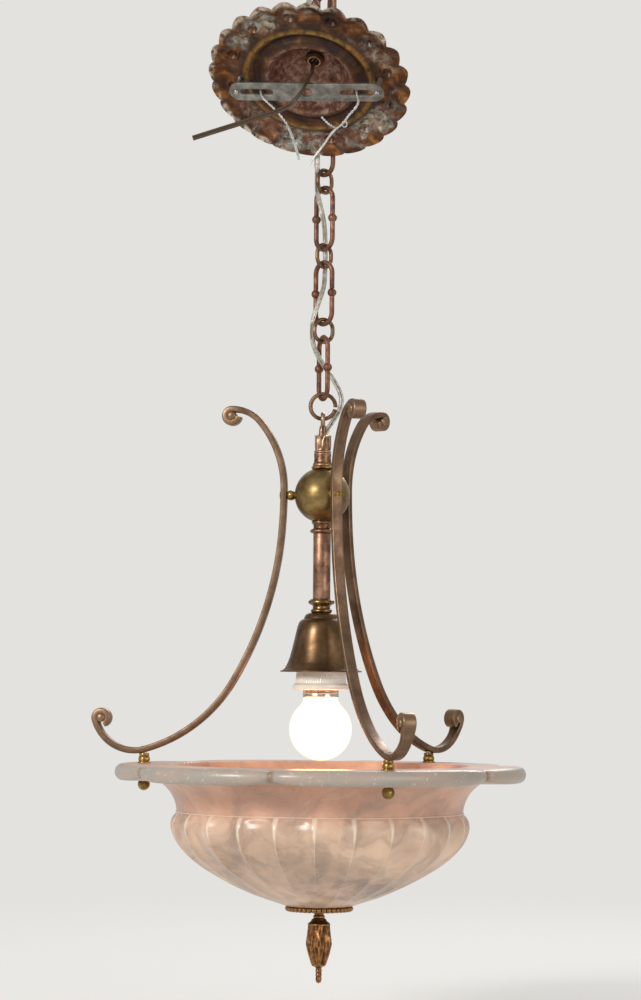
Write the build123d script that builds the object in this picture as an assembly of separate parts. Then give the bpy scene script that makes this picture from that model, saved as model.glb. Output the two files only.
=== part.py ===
"""Alabaster bowl pendant: a fluted stone bowl on three scrolled arms, hung from a knopped chain.

The fixture hangs from the top link of its chain, so the origin is where a hook carries that link and
everything lies below it. +Z is up and -Y is the front. Heights named h_ are above the bowl's rim plane.
The far end of the chain folds over in front and carries the canopy, mouth down, leaning on the chain.
"""
from build123d import *
import math
import os

os.makedirs("parts", exist_ok=True)

# ---------------------------------------------------------------- clearances
hang_gap = 0.3  # wire to wire, where one link hangs in another
slip = 0.05  # a piece on a rod or screw that is clamped
turn_gap = 0.3  # the lamp in its socket

# ---------------------------------------------------------------- chain
chain_pairs = 5  # a small and a long link each
long_height, long_width, long_wire = 48.5, 20.0, 3.5
small_height, small_width, small_wire = 19.4, 17.0, 2.9
knop_dia = 6.5  # the ball at the middle of each long side
long_yaw, small_yaw = -45.0, 45.0
last_small_yaw, last_long_yaw = 22.0, -68.0
ring_dia, ring_wire = 21.0, 3.0
ring_slit, ring_slit_angle = 1.6, -8.0  # the split in the open ring

# ---------------------------------------------------------------- hanger and stem
eye_inner, eye_wire = 5.2, 3.3
leaf_cup_dia, leaf_cup_wall = 12.4, 1.0
leaf_count = 5
h_leaf_tip, h_cup_floor, h_cup_base = 237.0, 230.5, 224.8
spire_width, spire_thick = 5.8, 3.0
rod_dia, rod_bore = 9.9, 6.6
coupling_top_dia, coupling_low_dia = 12.4, 14.2
seat_ring_dia, seat_ring_height = 16.2, 2.4
h_ball, ball_dia = 194.4, 40.0
neck_dia, neck_bead_dia, neck_foot_dia = 12.7, 15.0, 17.0
tube_wall, tube_play = 0.9, 0.9  # the tube's bore is wider than the rod by its play
tube_dia = rod_dia + tube_play + 2 * tube_wall
h_tube_top, h_tube_low = 166.7, 119.3
h_rod_top = 229.0

# ---------------------------------------------------------------- bell, socket and lamp
bell_wall = 1.0
h_bell_top, h_bell_rim, bell_rim_dia = 109.5, 66.7, 58.4
socket_dia, socket_neck_dia = 40.9, 34.4
h_socket_top, h_socket_foot = 84.0, 53.7
shell_bore, shell_wall = 26.6, 0.5
lamp_cap_dia = shell_bore - 2 * turn_gap
globe_dia, globe_wall, h_globe = 45.0, 0.8, 25.6
h_cap_low, h_cap_top = 48.5, 70.0

# ---------------------------------------------------------------- arms
arm_azimuths = {"left": 171.0, "back": 51.0, "front": -69.0}
arm_width, arm_thick = 8.0, 4.5
arm_reach, h_arm_start = 28.0, 199.0  # the bar's centre where it runs straight up
arm_low_arcs = [(368.0, 4.9), (252.0, 26.1), (110.0, 43.2), (30.0, 91.0)]
arm_top_arcs = [(76.0, 39.8), (26.5, 52.0)]
scroll_radius, scroll_sweep = 4.9, 262.0
scroll_eye_dia, scroll_eye_proud = 6.4, 0.7
stud_circle = 129.5  # radius of the rim studs
ball_screw_dia, ball_screw_head, ball_screw_bite = 3.2, 4.7, 7.0
ball_spacer_dia = 7.6
stud_dia, stud_spacer_dia, nut_ball_dia = 4.2, 8.6, 9.0
washer_dia, washer_thick = 9.6, 0.8

# ---------------------------------------------------------------- bowl
flange_radius, flange_thick, flange_round = 148.0, 11.3, 4.6
lobe_notch = 0.0243  # how far the notches between the lobes cut in, as a share of the radius
wide_lobe, narrow_lobe = 70.0, 50.0
flutes = 24
flute_depth = 0.021  # of the radius at each height
neck_top_radius, neck_low_radius = 118.0, 103.0
h_neck_mid, neck_mid_radius = -21.0, 107.0
h_groove, groove_height, groove_radius = -33.4, 1.0, 102.0
wall = 10.0
bowl_outline = [  # radius, height, share of the flute depth
    (103.2, -34.4, 0.0), (106.6, -38.6, 0.55), (107.7, -44.0, 1.0), (106.2, -50.5, 1.0),
    (102.4, -57.6, 1.0), (96.0, -64.8, 1.0), (87.9, -71.4, 1.0), (79.6, -76.8, 1.0),
    (69.0, -82.8, 1.0), (57.8, -88.3, 1.0), (44.7, -93.8, 1.0), (33.3, -97.6, 0.9),
    (23.5, -101.0, 0.5),
]
drain_hole_dia = 11.0

# ---------------------------------------------------------------- rosette and finial
rosette_dia, rosette_thick, rosette_leaves = 49.0, 4.3, 16
finial_rod_dia = 6.2
inner_washer_dia, inner_washer_thick = 32.0, 2.0
inner_nut_flats, inner_nut_thick = 11.0, 5.0
finial_outline = [  # radius, depth below the rosette's foot
    (4.0, 0.0), (4.0, 2.4), (6.8, 2.8), (6.9, 5.0), (5.6, 5.8), (7.0, 7.2), (8.3, 8.4),
    (8.4, 14.0), (10.0, 23.2), (8.2, 30.0), (5.0, 38.2), (2.5, 38.6), (2.1, 41.0),
    (2.4, 42.0), (2.0, 43.5), (2.3, 45.0), (2.0, 46.5), (2.2, 49.0), (1.4, 51.0),
]

# ---------------------------------------------------------------- canopy
canopy_radius, canopy_depth, canopy_wall = 72.5, 29.0, 2.2
canopy_scallops, scallop_bite = 24, 2.6
canopy_bosses, boss_circle, boss_radius = 12, 57.5, 5.0
canopy_axis = Vector(0.16, 0.59, 0.79).normalized()  # from the mouth to the loop
canopy_x = -12.0  # the mouth's centre lies this far to the left of the chain
canopy_seat = 1.38  # how far its back edge passes the face of the link it leans on, seen from the side
branch_bow_angle = 19.6  # where the folded end of the chain sits on the top link's bow
loop_inner, loop_wire, loop_collar_dia = 10.0, 3.0, 14.0
canopy_eye_height = 48.5  # the loop's centre over the mouth
nipple_dia, nipple_bore, locknut_dia, locknut_thick = 9.9, 7.4, 13.6, 3.0
bar_length, bar_width, bar_thick = 112.0, 16.0, 1.8
bar_proud, bar_turn = 10.0, -8.4  # how far it stands out of the mouth, and its turn about the axis
bar_hole_dia, slot_length, slot_width, slot_centre = 8.7, 24.0, 5.5, 36.0
bar_screw_circle, bar_screw_dia, bar_screw_head = 51.0, 4.0, 7.6
screw_head_low, screw_head_top = 10.5, 14.0  # above the mouth; the head's foot follows the canopy's wall

# ---------------------------------------------------------------- cord and leads
cord_dia, lead_dia, tie_wire_dia, inner_lead_dia = 2.4, 3.2, 1.7, 2.0
cord_entry = (1.0, 3.2)  # where the chain's cord goes down into the leaf cup
cord_low_run = [(1.0, 3.2, 229.6), (1.0, 3.2, 239.0), (7.5, 4.4, 249.0), (13.0, 3.2, 258.0),
                (13.6, 2.8, 267.0), (8.5, 1.8, 277.0)]  # x, y, height over the rim plane
cord_chain_run = [  # x, y, place along the chain in long links counted down from the top one
    (0.0, 0.5, 4.96), (-8.2, 1.0, 4.70), (-8.4, 0.6, 4.36), (-2.9, -0.6, 4.08), (0.2, 2.6, 3.90),
    (0.8, 7.2, 3.66), (0.8, 7.4, 3.34), (0.2, 2.8, 3.10), (-2.0, -1.5, 2.90), (-5.8, -1.0, 2.64),
    (-5.5, -0.7, 2.37), (-5.2, -1.8, 2.12), (-6.5, -1.5, 1.86), (-7.2, -0.6, 1.45), (-9.0, 0.8, 1.00),
    (-8.0, -0.2, 0.62), (-11.5, 3.5, 0.28)]
cord_fold = [(-12.5, 4.5, -21.1), (-12.5, -5.4, -12.7), (-12.2, -18.2, -14.8), (-12.8, -30.0, -33.5)]
cord_exit_angle, cord_exit_run, h_cord_bend, h_cord_end = 35.0, 19.0, 33.0, 23.5  # in the canopy's loop
lead_run = [  # in the canopy's frame: across, towards the chain, and up to the loop
    (0.0, 0.0, 23.2), (0.0, 0.0, 14.0), (1.7, -5.8, 3.4), (0.9, -11.2, -8.5), (-0.6, -12.2, -19.9),
    (-4.2, -9.6, -28.5), (-9.6, -7.0, -34.1), (-16.7, -4.8, -38.2), (-26.0, -2.4, -41.4),
    (-40.5, 1.6, -47.2), (-56.0, 6.2, -52.2), (-72.5, 10.8, -58.2)]
left_wire_run = [  # the same for the wires tied through the bar's slots, turned with the bar
    (-35.0, 1.8, -3.0), (-33.0, 1.8, -11.0), (-28.0, 1.2, -17.8), (-20.6, 2.9, -24.2), (-15.3, 6.7, -28.6),
    (-11.2, 12.2, -31.6), (-7.8, 20.7, -36.5), (-5.5, 27.1, -40.4), (-4.0, 32.1, -45.1)]
right_wire_run = [
    (34.6, 1.8, -3.0), (36.6, 1.8, -11.0), (39.6, 0.2, -18.1), (38.2, 0.9, -24.4), (32.9, 4.6, -27.7),
    (28.9, 10.1, -30.4), (23.2, 14.2, -31.4), (18.4, 18.4, -34.0), (13.7, 24.2, -38.5), (7.1, 29.8, -44.4),
    (3.5, 33.9, -48.4)]


# ================================================================ helpers
def save(name, solids):
    """Writes one sub-part: a solid, or several alike."""
    solids = solids if isinstance(solids, list) else [solids]
    found = [s for piece in solids for s in piece.solids()]
    shape = found[0] if len(found) == 1 else Compound(children=found)
    export_step(shape, f"parts/{name}.step")


def turned(outline):
    """A solid of revolution about Z from (radius, height) points or ready-made edges."""
    if isinstance(outline[0], tuple):
        edges = Polyline([(r, 0, z) for r, z in outline], close=True)
    else:
        edges = Wire(outline)
    return revolve(make_face(edges), Axis.Z)


def rod(dia, low, high, x=0.0, y=0.0):
    return Pos(x, y, low) * Cylinder(dia / 2, high - low, align=(Align.CENTER, Align.CENTER, Align.MIN))


def tube(outer, bore, low, high):
    return rod(outer, low, high) - rod(bore, low - 1, high + 1)


def hexagon(flats, bore, low, high):
    body = Pos(0, 0, low) * extrude(RegularPolygon(flats / 2, 6, major_radius=False), high - low)
    return body - rod(bore, low - 1, high + 1)


def half_ring(radius, wire, up):
    """Half of a round-wire ring in the XZ plane, its ends level with its centre."""
    section = make_face(Plane.XY.offset(0) * Pos(radius, 0, 0) * CenterArc((0, 0), wire / 2, 0, 360))
    return revolve(section, Axis((0, 0, 0), (0, -1 if up else 1, 0)), 180)


def link(height, width, wire, knop=0.0):
    """A chain link in the XZ plane, centred on the origin."""
    bow = (width - wire) / 2
    straight = height - wire - 2 * bow
    body = Pos(0, 0, straight / 2) * half_ring(bow, wire, True)
    body += Pos(0, 0, -straight / 2) * half_ring(bow, wire, False)
    for side in (-bow, bow):
        body += rod(wire, -straight / 2, straight / 2, x=side)
        if knop:
            body += Pos(side, 0, 0) * Sphere(knop / 2)
    return body


def around(count, piece, start=0.0):
    return [Rot(0, 0, start + 360 / count * i) * piece for i in range(count)]


def wavy_disc(radius, bite, count, low, high, start=0.0):
    """A disc whose edge is `count` outward arcs that meet `bite` inside its radius."""
    half = math.radians(180 / count)
    edges = []
    for i in range(count):
        a = math.radians(start) + 2 * half * i
        ends = [((radius - bite) * math.cos(a + s), (radius - bite) * math.sin(a + s)) for s in (-half, half)]
        edges.append(ThreePointArc(ends[0], (radius * math.cos(a), radius * math.sin(a)), ends[1]))
    return Pos(0, 0, low) * extrude(make_face(Wire(edges)), high - low)


def cord(name, points, dia):
    """A round tube on straight runs joined by the largest tangent arcs that the runs allow."""
    points = [Vector(*p) for p in points]
    radii = []
    for a, b, c in zip(points, points[1:], points[2:]):
        half_turn = math.radians((b - a).get_angle(c - b)) / 2
        radii.append(0.45 * min((b - a).length, (c - b).length) / math.tan(half_turn))
    path = FilletPolyline(*points, radius=radii)
    solid = sweep(Plane(path @ 0, z_dir=path % 0) * Circle(dia / 2), path=path)
    ideal = math.pi * dia**2 / 4 * path.length
    print(f"{name}: {path.length:.0f} mm, radii {min(radii):.1f} to {max(radii):.1f},"
          f" tightest {min(radii) / dia:.1f} diameters, volume {solid.volume / ideal:.4f} of the ideal")
    return solid


# ================================================================ chain
def hang(contact, height, wire):
    """Where a link lies that hangs on `contact`, the top of the bow above it: its centre and its own contact."""
    centre = contact + hang_gap + wire - height / 2
    return centre, centre - height / 2 + wire


def chain():
    """The links from the hook down to the ring. Returns the solids and the height where the ring bears."""
    pieces, pivots = {}, []
    contact = -(long_height - 2 * long_wire)
    top = Pos(0, 0, long_wire - long_height / 2) * Rot(0, 0, long_yaw)
    pieces["top_link"] = top * link(long_height, long_width, long_wire, knop_dia)
    wire = long_wire
    for i in range(1, chain_pairs + 1):
        last = i == chain_pairs
        for kind, size, knop, yaw in (
            ("small", (small_height, small_width, small_wire), 0, last_small_yaw if last else small_yaw),
            ("long", (long_height, long_width, long_wire), knop_dia, last_long_yaw if last else long_yaw),
        ):
            pivots.append((f"{kind}_{i}", round(contact - wire / 2, 3)))
            centre, contact = hang(contact, size[0], size[2])
            wire = size[2]
            pieces[f"{kind}_link_{i}"] = Pos(0, 0, centre) * Rot(0, 0, yaw) * link(*size, knop)
    pivots.append(("ring", round(contact - wire / 2, 3)))
    centre, contact = hang(contact, ring_dia, ring_wire)
    ring = Rot(90, 0, 0) * Torus(ring_dia / 2 - ring_wire / 2, ring_wire / 2)
    slit = Rot(0, -ring_slit_angle, 0) * Pos(ring_dia / 2, 0, 0) * Box(ring_dia / 2, 2 * ring_wire, ring_slit)
    pieces["stem_ring"] = Pos(0, 0, centre) * (ring - slit)
    pivots.append(("hanger", round(contact - ring_wire / 2, 3)))
    print("chain pivots", pivots)
    return pieces, contact


# ================================================================ hanger and stem
def hanger(contact, rim):
    """Eye, spire and leaf cup in one casting."""
    centre = contact + hang_gap - eye_inner / 2
    outer = eye_inner / 2 + eye_wire
    eye = Pos(0, 0, centre) * Rot(0, 90, 0) * Torus(eye_inner / 2 + eye_wire / 2, eye_wire / 2)
    foot, head = rim + h_cup_floor - 1.0, centre - outer + 1.2
    low = Plane.XY.offset(foot) * Ellipse(spire_width / 2, spire_thick / 2)
    high = Plane.XY.offset(head) * Ellipse(2.2, 1.5)
    body = eye + loft([low, high])
    base = rod(leaf_cup_dia, rim + h_cup_base, rim + h_cup_floor) - rod(rod_dia + 2 * slip, rim, rim + h_rod_top)
    cup = tube(leaf_cup_dia, leaf_cup_dia - 2 * leaf_cup_wall, rim + h_cup_floor, rim + h_leaf_tip)
    for notch in around(leaf_count, Pos(leaf_cup_dia / 2, 0, rim + h_leaf_tip) * Rot(0, 90, 0)
                        * Cylinder(2.1, 6.0), start=30):
        cup -= notch
    cord_way = rod(cord_dia + 1.2, rim + h_rod_top, rim + h_cup_floor + 1, *cord_entry)
    return body + (base - cord_way) + cup


def stem(rim):
    bore = rod_dia + 2 * slip
    ball_top = math.sqrt((ball_dia / 2) ** 2 - (seat_ring_dia / 2 - 1.2) ** 2)
    h_seat = h_ball + ball_top
    pieces = {}
    taper = [(coupling_low_dia / 2, h_seat + seat_ring_height), (coupling_low_dia / 2, h_seat + 4.2),
             (coupling_top_dia / 2, h_seat + 5.4), (coupling_top_dia / 2, h_cup_base),
             (bore / 2, h_cup_base), (bore / 2, h_seat + seat_ring_height)]
    pieces["upper_coupling"] = Pos(0, 0, rim) * turned(taper)
    seat = tube(seat_ring_dia, bore, h_seat, h_seat + seat_ring_height)
    seat = fillet(seat.edges().filter_by(GeomType.CIRCLE).sort_by(SortBy.RADIUS)[-2:], 0.8)
    ball = Pos(0, 0, h_ball) * Sphere(ball_dia / 2) - rod(bore, 0, 300)
    pieces["ball_seat_ring"] = Pos(0, 0, rim) * (seat - Pos(0, 0, h_ball) * Sphere(ball_dia / 2))
    for screw in arm_sites():
        ball -= screw * Pos(ball_dia / 2, 0, h_ball) * Rot(0, 90, 0) * Cylinder(ball_screw_dia / 2, 2 * 8.0)
    pieces["arm_ball"] = Pos(0, 0, rim) * ball
    h_under = h_ball - math.sqrt((ball_dia / 2) ** 2 - (neck_bead_dia / 2) ** 2)
    collar = turned([
        (bore / 2, h_under), (neck_bead_dia / 2, h_under), (neck_bead_dia / 2, h_under - 3.0),
        (neck_dia / 2, h_under - 3.6), (neck_dia / 2, h_tube_top + 3.2), (neck_foot_dia / 2, h_tube_top + 2.6),
        (neck_foot_dia / 2, h_tube_top + 0.6), (neck_foot_dia / 2 - 1, h_tube_top), (bore / 2, h_tube_top)])
    pieces["lower_collar"] = Pos(0, 0, rim) * (collar - Pos(0, 0, h_ball) * Sphere(ball_dia / 2))
    pieces["stem_tube"] = Pos(0, 0, rim) * tube(tube_dia, tube_dia - 2 * tube_wall, h_tube_low, h_tube_top)
    pieces["stem_rod"] = Pos(0, 0, rim) * tube(rod_dia, rod_bore, h_socket_top - 4, h_rod_top)
    offset = inner_lead_dia / 2 + 0.3
    pieces["inner_leads"] = [rod(inner_lead_dia, rim + h_socket_top - 3.8, rim + h_rod_top - 1, x=s * offset)
                             for s in (-1, 1)]
    return pieces


# ================================================================ bell, socket and lamp
def bell_and_socket(rim):
    bore = rod_dia + 2 * slip
    pieces = {}
    pieces["bell_coupling"] = turned([
        (bore / 2, h_bell_top), (7.6, h_bell_top), (7.8, h_bell_top + 1.6), (6.6, h_bell_top + 3.0),
        (6.4, h_bell_top + 4.6), (9.2, h_bell_top + 6.4), (9.3, h_tube_low - 1.2), (8.4, h_tube_low),
        (bore / 2, h_tube_low)])
    outer = [(7.6, h_bell_top), (11.0, 108.2), (12.5, 105.0), (14.6, 104.2), (17.3, 99.0), (19.4, 90.0),
             (22.4, 78.0), (24.4, 72.6), (26.2, 69.2), (bell_rim_dia / 2, h_bell_rim + 0.6),
             (bell_rim_dia / 2, h_bell_rim)]
    inner = [(r - bell_wall, h - 0.6 * bell_wall) for r, h in outer[:-1]]
    h_roof = inner[1][1]
    inner[0] = (bore / 2, h_roof)
    inner[-1] = (bell_rim_dia / 2 - bell_wall, h_bell_rim)
    pieces["socket_bell"] = turned([(bore / 2, h_bell_top)] + outer + inner[::-1])
    pieces["bell_locknut"] = hexagon(14.0, bore, h_roof - 3.0, h_roof)
    shell_outer = shell_bore / 2 + shell_wall
    h_shell_top = h_socket_top - 5.0
    body = turned([
        (0, h_socket_top), (socket_neck_dia / 2 - 2.5, h_socket_top), (socket_neck_dia / 2, h_socket_top - 3),
        (socket_neck_dia / 2 + 0.4, 66.0), (socket_dia / 2, 56.6), (socket_dia / 2 - 0.5, 54.6),
        (socket_dia / 2 - 2.2, h_socket_foot), (shell_outer + slip, h_socket_foot),
        (shell_outer + slip, h_shell_top), (0, h_shell_top)])
    body -= rod(bore, h_socket_top - 10, h_socket_top + 1)
    pieces["porcelain_socket"] = body
    pieces["socket_nut"] = hexagon(14.0, bore, h_socket_top, h_socket_top + 3.0)
    h_shell_low = h_socket_foot + 1.0
    shell = tube(2 * shell_outer, shell_bore, h_shell_low, h_shell_top)
    shell += tube(2 * shell_outer, 16.0, h_shell_top - shell_wall, h_shell_top)
    pieces["socket_shell"] = shell
    h_tip = h_cap_top + 5.0
    pieces["socket_contact"] = (rod(4.0, h_tip + turn_gap, h_tip + turn_gap + 0.6, x=2)
                                + Pos(2.0, 0, h_tip + turn_gap) * Box(10.0, 4.0, 0.6, align=(
                                    Align.CENTER, Align.CENTER, Align.MIN))
                                + rod(3.0, h_tip + turn_gap, h_shell_top, x=5.0))
    cap = turned([(0, h_tip), (4.7, h_tip), (5.0, h_tip - 1.0), (lamp_cap_dia / 2 - 2.4, h_cap_top + 0.6),
                  (lamp_cap_dia / 2, h_cap_top - 1.6), (lamp_cap_dia / 2, h_cap_low), (12.2, h_cap_low),
                  (12.2, h_cap_top - 3), (0, h_cap_top - 3)])
    pieces["lamp_cap"] = cap
    radius, thin = globe_dia / 2, globe_wall
    neck = 12.0
    h_neck = h_cap_low + 4.0
    join_z = h_globe + math.sqrt(radius**2 - 15.0**2)
    out = [Line((neck, 0, h_neck), (neck, 0, h_cap_low + 0.2)),
           ThreePointArc((neck, 0, h_cap_low + 0.2), (12.9, 0, h_cap_low - 3.4), (15.0, 0, join_z)),
           ThreePointArc((15.0, 0, join_z), (radius, 0, h_globe), (0, 0, h_globe - radius))]
    back = radius - thin
    join_in = h_globe + math.sqrt(back**2 - 14.2**2)
    into = [ThreePointArc((0, 0, h_globe - back), (back, 0, h_globe), (14.2, 0, join_in)),
            ThreePointArc((14.2, 0, join_in), (12.0, 0, h_cap_low - 3.4), (neck - thin, 0, h_cap_low + 0.2)),
            Line((neck - thin, 0, h_cap_low + 0.2), (neck - thin, 0, h_neck)),
            Line((neck - thin, 0, h_neck), (neck, 0, h_neck))]
    pieces["lamp_globe"] = turned(out + [Line((0, 0, h_globe - radius), (0, 0, h_globe - back))] + into)
    stem_glass = rod(22.0, h_neck - 2.0, h_neck) + rod(5.0, h_globe + 6, h_neck - 1)
    pieces["lamp_stem"] = stem_glass - Pos(0, 0, h_globe + 8) * Box(14.0, 0.8, 0.8)
    bends = [(-1.0, 8.0), (-6.0, 8.0), (-6.0, -3.5), (6.0, -3.5), (6.0, 8.0), (1.0, 8.0)]
    path = FilletPolyline(*[(x, 0, h_globe + z) for x, z in bends], radius=1.8)
    pieces["lamp_filament"] = sweep(Plane(path @ 0, z_dir=path % 0) * Circle(0.35), path=path)
    return {name: Pos(0, 0, rim) * solid for name, solid in pieces.items()}


# ================================================================ arms
def arm_sites():
    return [Rot(0, 0, a) for a in arm_azimuths.values()]


def arm_path():
    """The bar's centreline in the XZ plane, from the lower scroll to the upper one."""
    start = Vector(arm_reach, 0, h_arm_start)

    def run(heading, arcs, turn):
        edges, point = [], start
        angle = heading
        for radius, sweep_angle in arcs:
            side = angle + turn * 90
            centre = point + Vector(math.cos(math.radians(side)), 0, math.sin(math.radians(side))) * radius
            spokes = [side + 180 + turn * sweep_angle * share for share in (0.5, 1.0)]
            mid, end = (centre + Vector(math.cos(math.radians(s)), 0, math.sin(math.radians(s))) * radius
                        for s in spokes)
            edges.append(ThreePointArc(point, mid, end))
            point, angle = end, angle + turn * sweep_angle
        side = angle + turn * 90
        return edges, point + Vector(math.cos(math.radians(side)), 0, math.sin(math.radians(side))) * scroll_radius

    scroll = [(scroll_radius, scroll_sweep / 2), (scroll_radius, scroll_sweep / 2)]
    low, low_eye = run(-90, arm_low_arcs, 1)
    full_low, _ = run(-90, arm_low_arcs + scroll, 1)
    top, top_eye = run(90, arm_top_arcs, -1)
    full_top, _ = run(90, arm_top_arcs + scroll, -1)
    return full_low, full_top, (low_eye, top_eye)


def arms(rim):
    low, top, eyes = arm_path()
    bar = None
    for edges in (low, top):
        path = Wire(edges)
        section = Plane(path @ 0, x_dir=(0, 1, 0), z_dir=path % 0) * Rectangle(arm_width, arm_thick)
        half = sweep(section, path=path)
        bar = half if bar is None else bar + half
    for eye in eyes:
        bar += Pos(eye.X, 0, eye.Z) * Rot(90, 0, 0) * Cylinder(scroll_eye_dia / 2, arm_width + 2 * scroll_eye_proud)
    whole_bar = bar
    bar = whole_bar - rod(stud_dia + 2 * slip, 0, 30, x=stud_circle)
    bar -= Pos(arm_reach, 0, h_ball) * Rot(0, 90, 0) * Cylinder(ball_screw_dia / 2 + slip, 4 * arm_thick)
    pieces = {f"arm_{side}": Pos(0, 0, rim) * Rot(0, 0, a) * bar for side, a in arm_azimuths.items()}

    low_path = Wire(low)
    near = min((low_path @ (i / 400) for i in range(401)), key=lambda p: abs(p.X - stud_circle) + (p.Z > 60) * 999)
    under, over = near.Z - arm_thick / 2 - 0.2, near.Z + arm_thick / 2
    inner_face = arm_reach - arm_thick / 2
    screw = Pos(inner_face, 0, h_ball) * Rot(0, 90, 0)
    bite = ball_dia / 2 - ball_screw_bite
    shank_start = bite - inner_face
    shank = screw * Pos(0, 0, shank_start) * Cylinder(
        ball_screw_dia / 2, arm_thick + 0.1 - shank_start, align=(Align.CENTER, Align.CENTER, Align.MIN))
    head = screw * Pos(0, 0, arm_thick + 0.07) * Cylinder(ball_screw_head / 2, 1.1, align=(
        Align.CENTER, Align.CENTER, Align.MIN))
    length = inner_face - ball_dia / 2
    barrel = turned([(ball_spacer_dia / 2 - 1.3, -1.0), (ball_spacer_dia / 2 - 0.2, length * 0.3),
                     (ball_spacer_dia / 2, length * 0.5), (ball_spacer_dia / 2 - 0.2, length * 0.7),
                     (ball_spacer_dia / 2 - 1.0, length), (ball_screw_dia / 2 + slip, length),
                     (ball_screw_dia / 2 + slip, -1.0)])
    barrel = Pos(ball_dia / 2, 0, h_ball) * Rot(0, 90, 0) * barrel - Pos(0, 0, h_ball) * Sphere(ball_dia / 2)
    hole = stud_dia / 2 + slip
    spacer = turned([(hole, washer_thick), (3.4, washer_thick), (stud_spacer_dia / 2, washer_thick + 1.6),
                     (stud_spacer_dia / 2, under - 4.2), (3.2, under - 3.4), (3.6, under - 2.6),
                     (3.6, under + 2.2), (hole, under + 2.2)])
    spacer -= Pos(-stud_circle, 0, 0) * whole_bar
    washer = tube(washer_dia, stud_dia + 2 * slip, 0, washer_thick)
    foot = -flange_thick
    nut_radius = nut_ball_dia / 2
    nut = turned([Line((hole, 0, foot), (3.4, 0, foot)),
                  Line((3.4, 0, foot), (3.4, 0, foot - 0.8)),
                  ThreePointArc((3.4, 0, foot - 0.8), (nut_radius, 0, foot - 3.6), (1.2, 0, foot - 7.8)),
                  Line((1.2, 0, foot - 7.8), (1.0, 0, foot - 8.6)),
                  Line((1.0, 0, foot - 8.6), (0, 0, foot - 8.6)),
                  Line((0, 0, foot - 8.6), (0, 0, foot - 5.6)),
                  Line((0, 0, foot - 5.6), (hole, 0, foot - 5.6)),
                  Line((hole, 0, foot - 5.6), (hole, 0, foot))])
    stud = rod(stud_dia, foot - 5.5, over)
    groups = {"ball_screws": shank + head, "ball_spacers": barrel}
    at_rim = {"rim_spacers": spacer, "rim_washers": washer, "ball_nuts": nut, "rim_studs": stud}
    for name, solid in groups.items():
        pieces[name] = [Pos(0, 0, rim) * site * solid for site in arm_sites()]
    for name, solid in at_rim.items():
        pieces[name] = [Pos(0, 0, rim) * site * Pos(stud_circle, 0, 0) * solid for site in arm_sites()]
    return pieces


# ================================================================ bowl
def polar(radius, angle, z):
    return (radius * math.cos(math.radians(angle)), radius * math.sin(math.radians(angle)), z)


def flange():
    """Six lobes: a wide one over each arm and a narrow one between."""
    notch = flange_radius * (1 - lobe_notch)
    edges = []
    for a in arm_azimuths.values():
        for mid, half in ((a, wide_lobe / 2), (a + 60, narrow_lobe / 2)):
            edges.append(ThreePointArc(polar(notch, mid - half, 0), polar(flange_radius, mid, 0),
                                       polar(notch, mid + half, 0)))
    plate = Pos(0, 0, -flange_thick) * extrude(make_face(Wire(edges)), flange_thick)
    rims = [e for e in plate.edges() if abs(e.center().Z) < 0.01 or abs(e.center().Z + flange_thick) < 0.01]
    return fillet(rims, flange_round)


def fluted_section(radius, height, share):
    """A closed ring of scooped arcs whose ridges stand at the radius; one ridge faces the front."""
    step = 360 / flutes
    middle = radius * (1 - (1 - math.cos(math.radians(step / 2)) + flute_depth) * share)
    edges = [ThreePointArc(polar(radius, -90 + step * i, height), polar(middle, -90 + step * (i + 0.5), height),
                           polar(radius, -90 + step * (i + 1), height)) for i in range(flutes)]
    return make_face(Wire(edges))


def bowl(rim):
    body = loft([fluted_section(*row) for row in bowl_outline])
    neck = turned([
        Line((0, 0, -flange_thick), (neck_top_radius, 0, -flange_thick)),
        ThreePointArc((neck_top_radius, 0, -flange_thick), (neck_mid_radius, 0, h_neck_mid),
                      (neck_low_radius, 0, h_groove)),
        Line((neck_low_radius, 0, h_groove), (0, 0, h_groove)),
        Line((0, 0, h_groove), (0, 0, -flange_thick))])
    groove = Pos(0, 0, h_groove - groove_height) * Cylinder(
        groove_radius, groove_height, align=(Align.CENTER, Align.CENTER, Align.MIN))
    h_floor = bowl_outline[-1][1] + wall
    mouth, waist = neck_low_radius + 3.0, neck_low_radius - wall
    floor = inner_washer_dia / 2 + 2.0
    hollow = turned([
        Line((0, 0, 5), (mouth, 0, 5)), Line((mouth, 0, 5), (mouth, 0, 0)),
        ThreePointArc((mouth, 0, 0), (neck_mid_radius - wall, 0, h_neck_mid), (waist, 0, h_groove)),
        ThreePointArc((waist, 0, h_groove), (waist - 12.0, 0, -68.0), (floor, 0, h_floor)),
        Line((floor, 0, h_floor), (0, 0, h_floor)), Line((0, 0, h_floor), (0, 0, 5))])
    solid = flange() + neck + groove + body - hollow
    solid -= rod(drain_hole_dia, -120, -60)
    for site in arm_sites():
        solid -= site * rod(stud_dia + 2 * 0.6, -30, 10, x=stud_circle)
    return Pos(0, 0, rim) * solid


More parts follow.
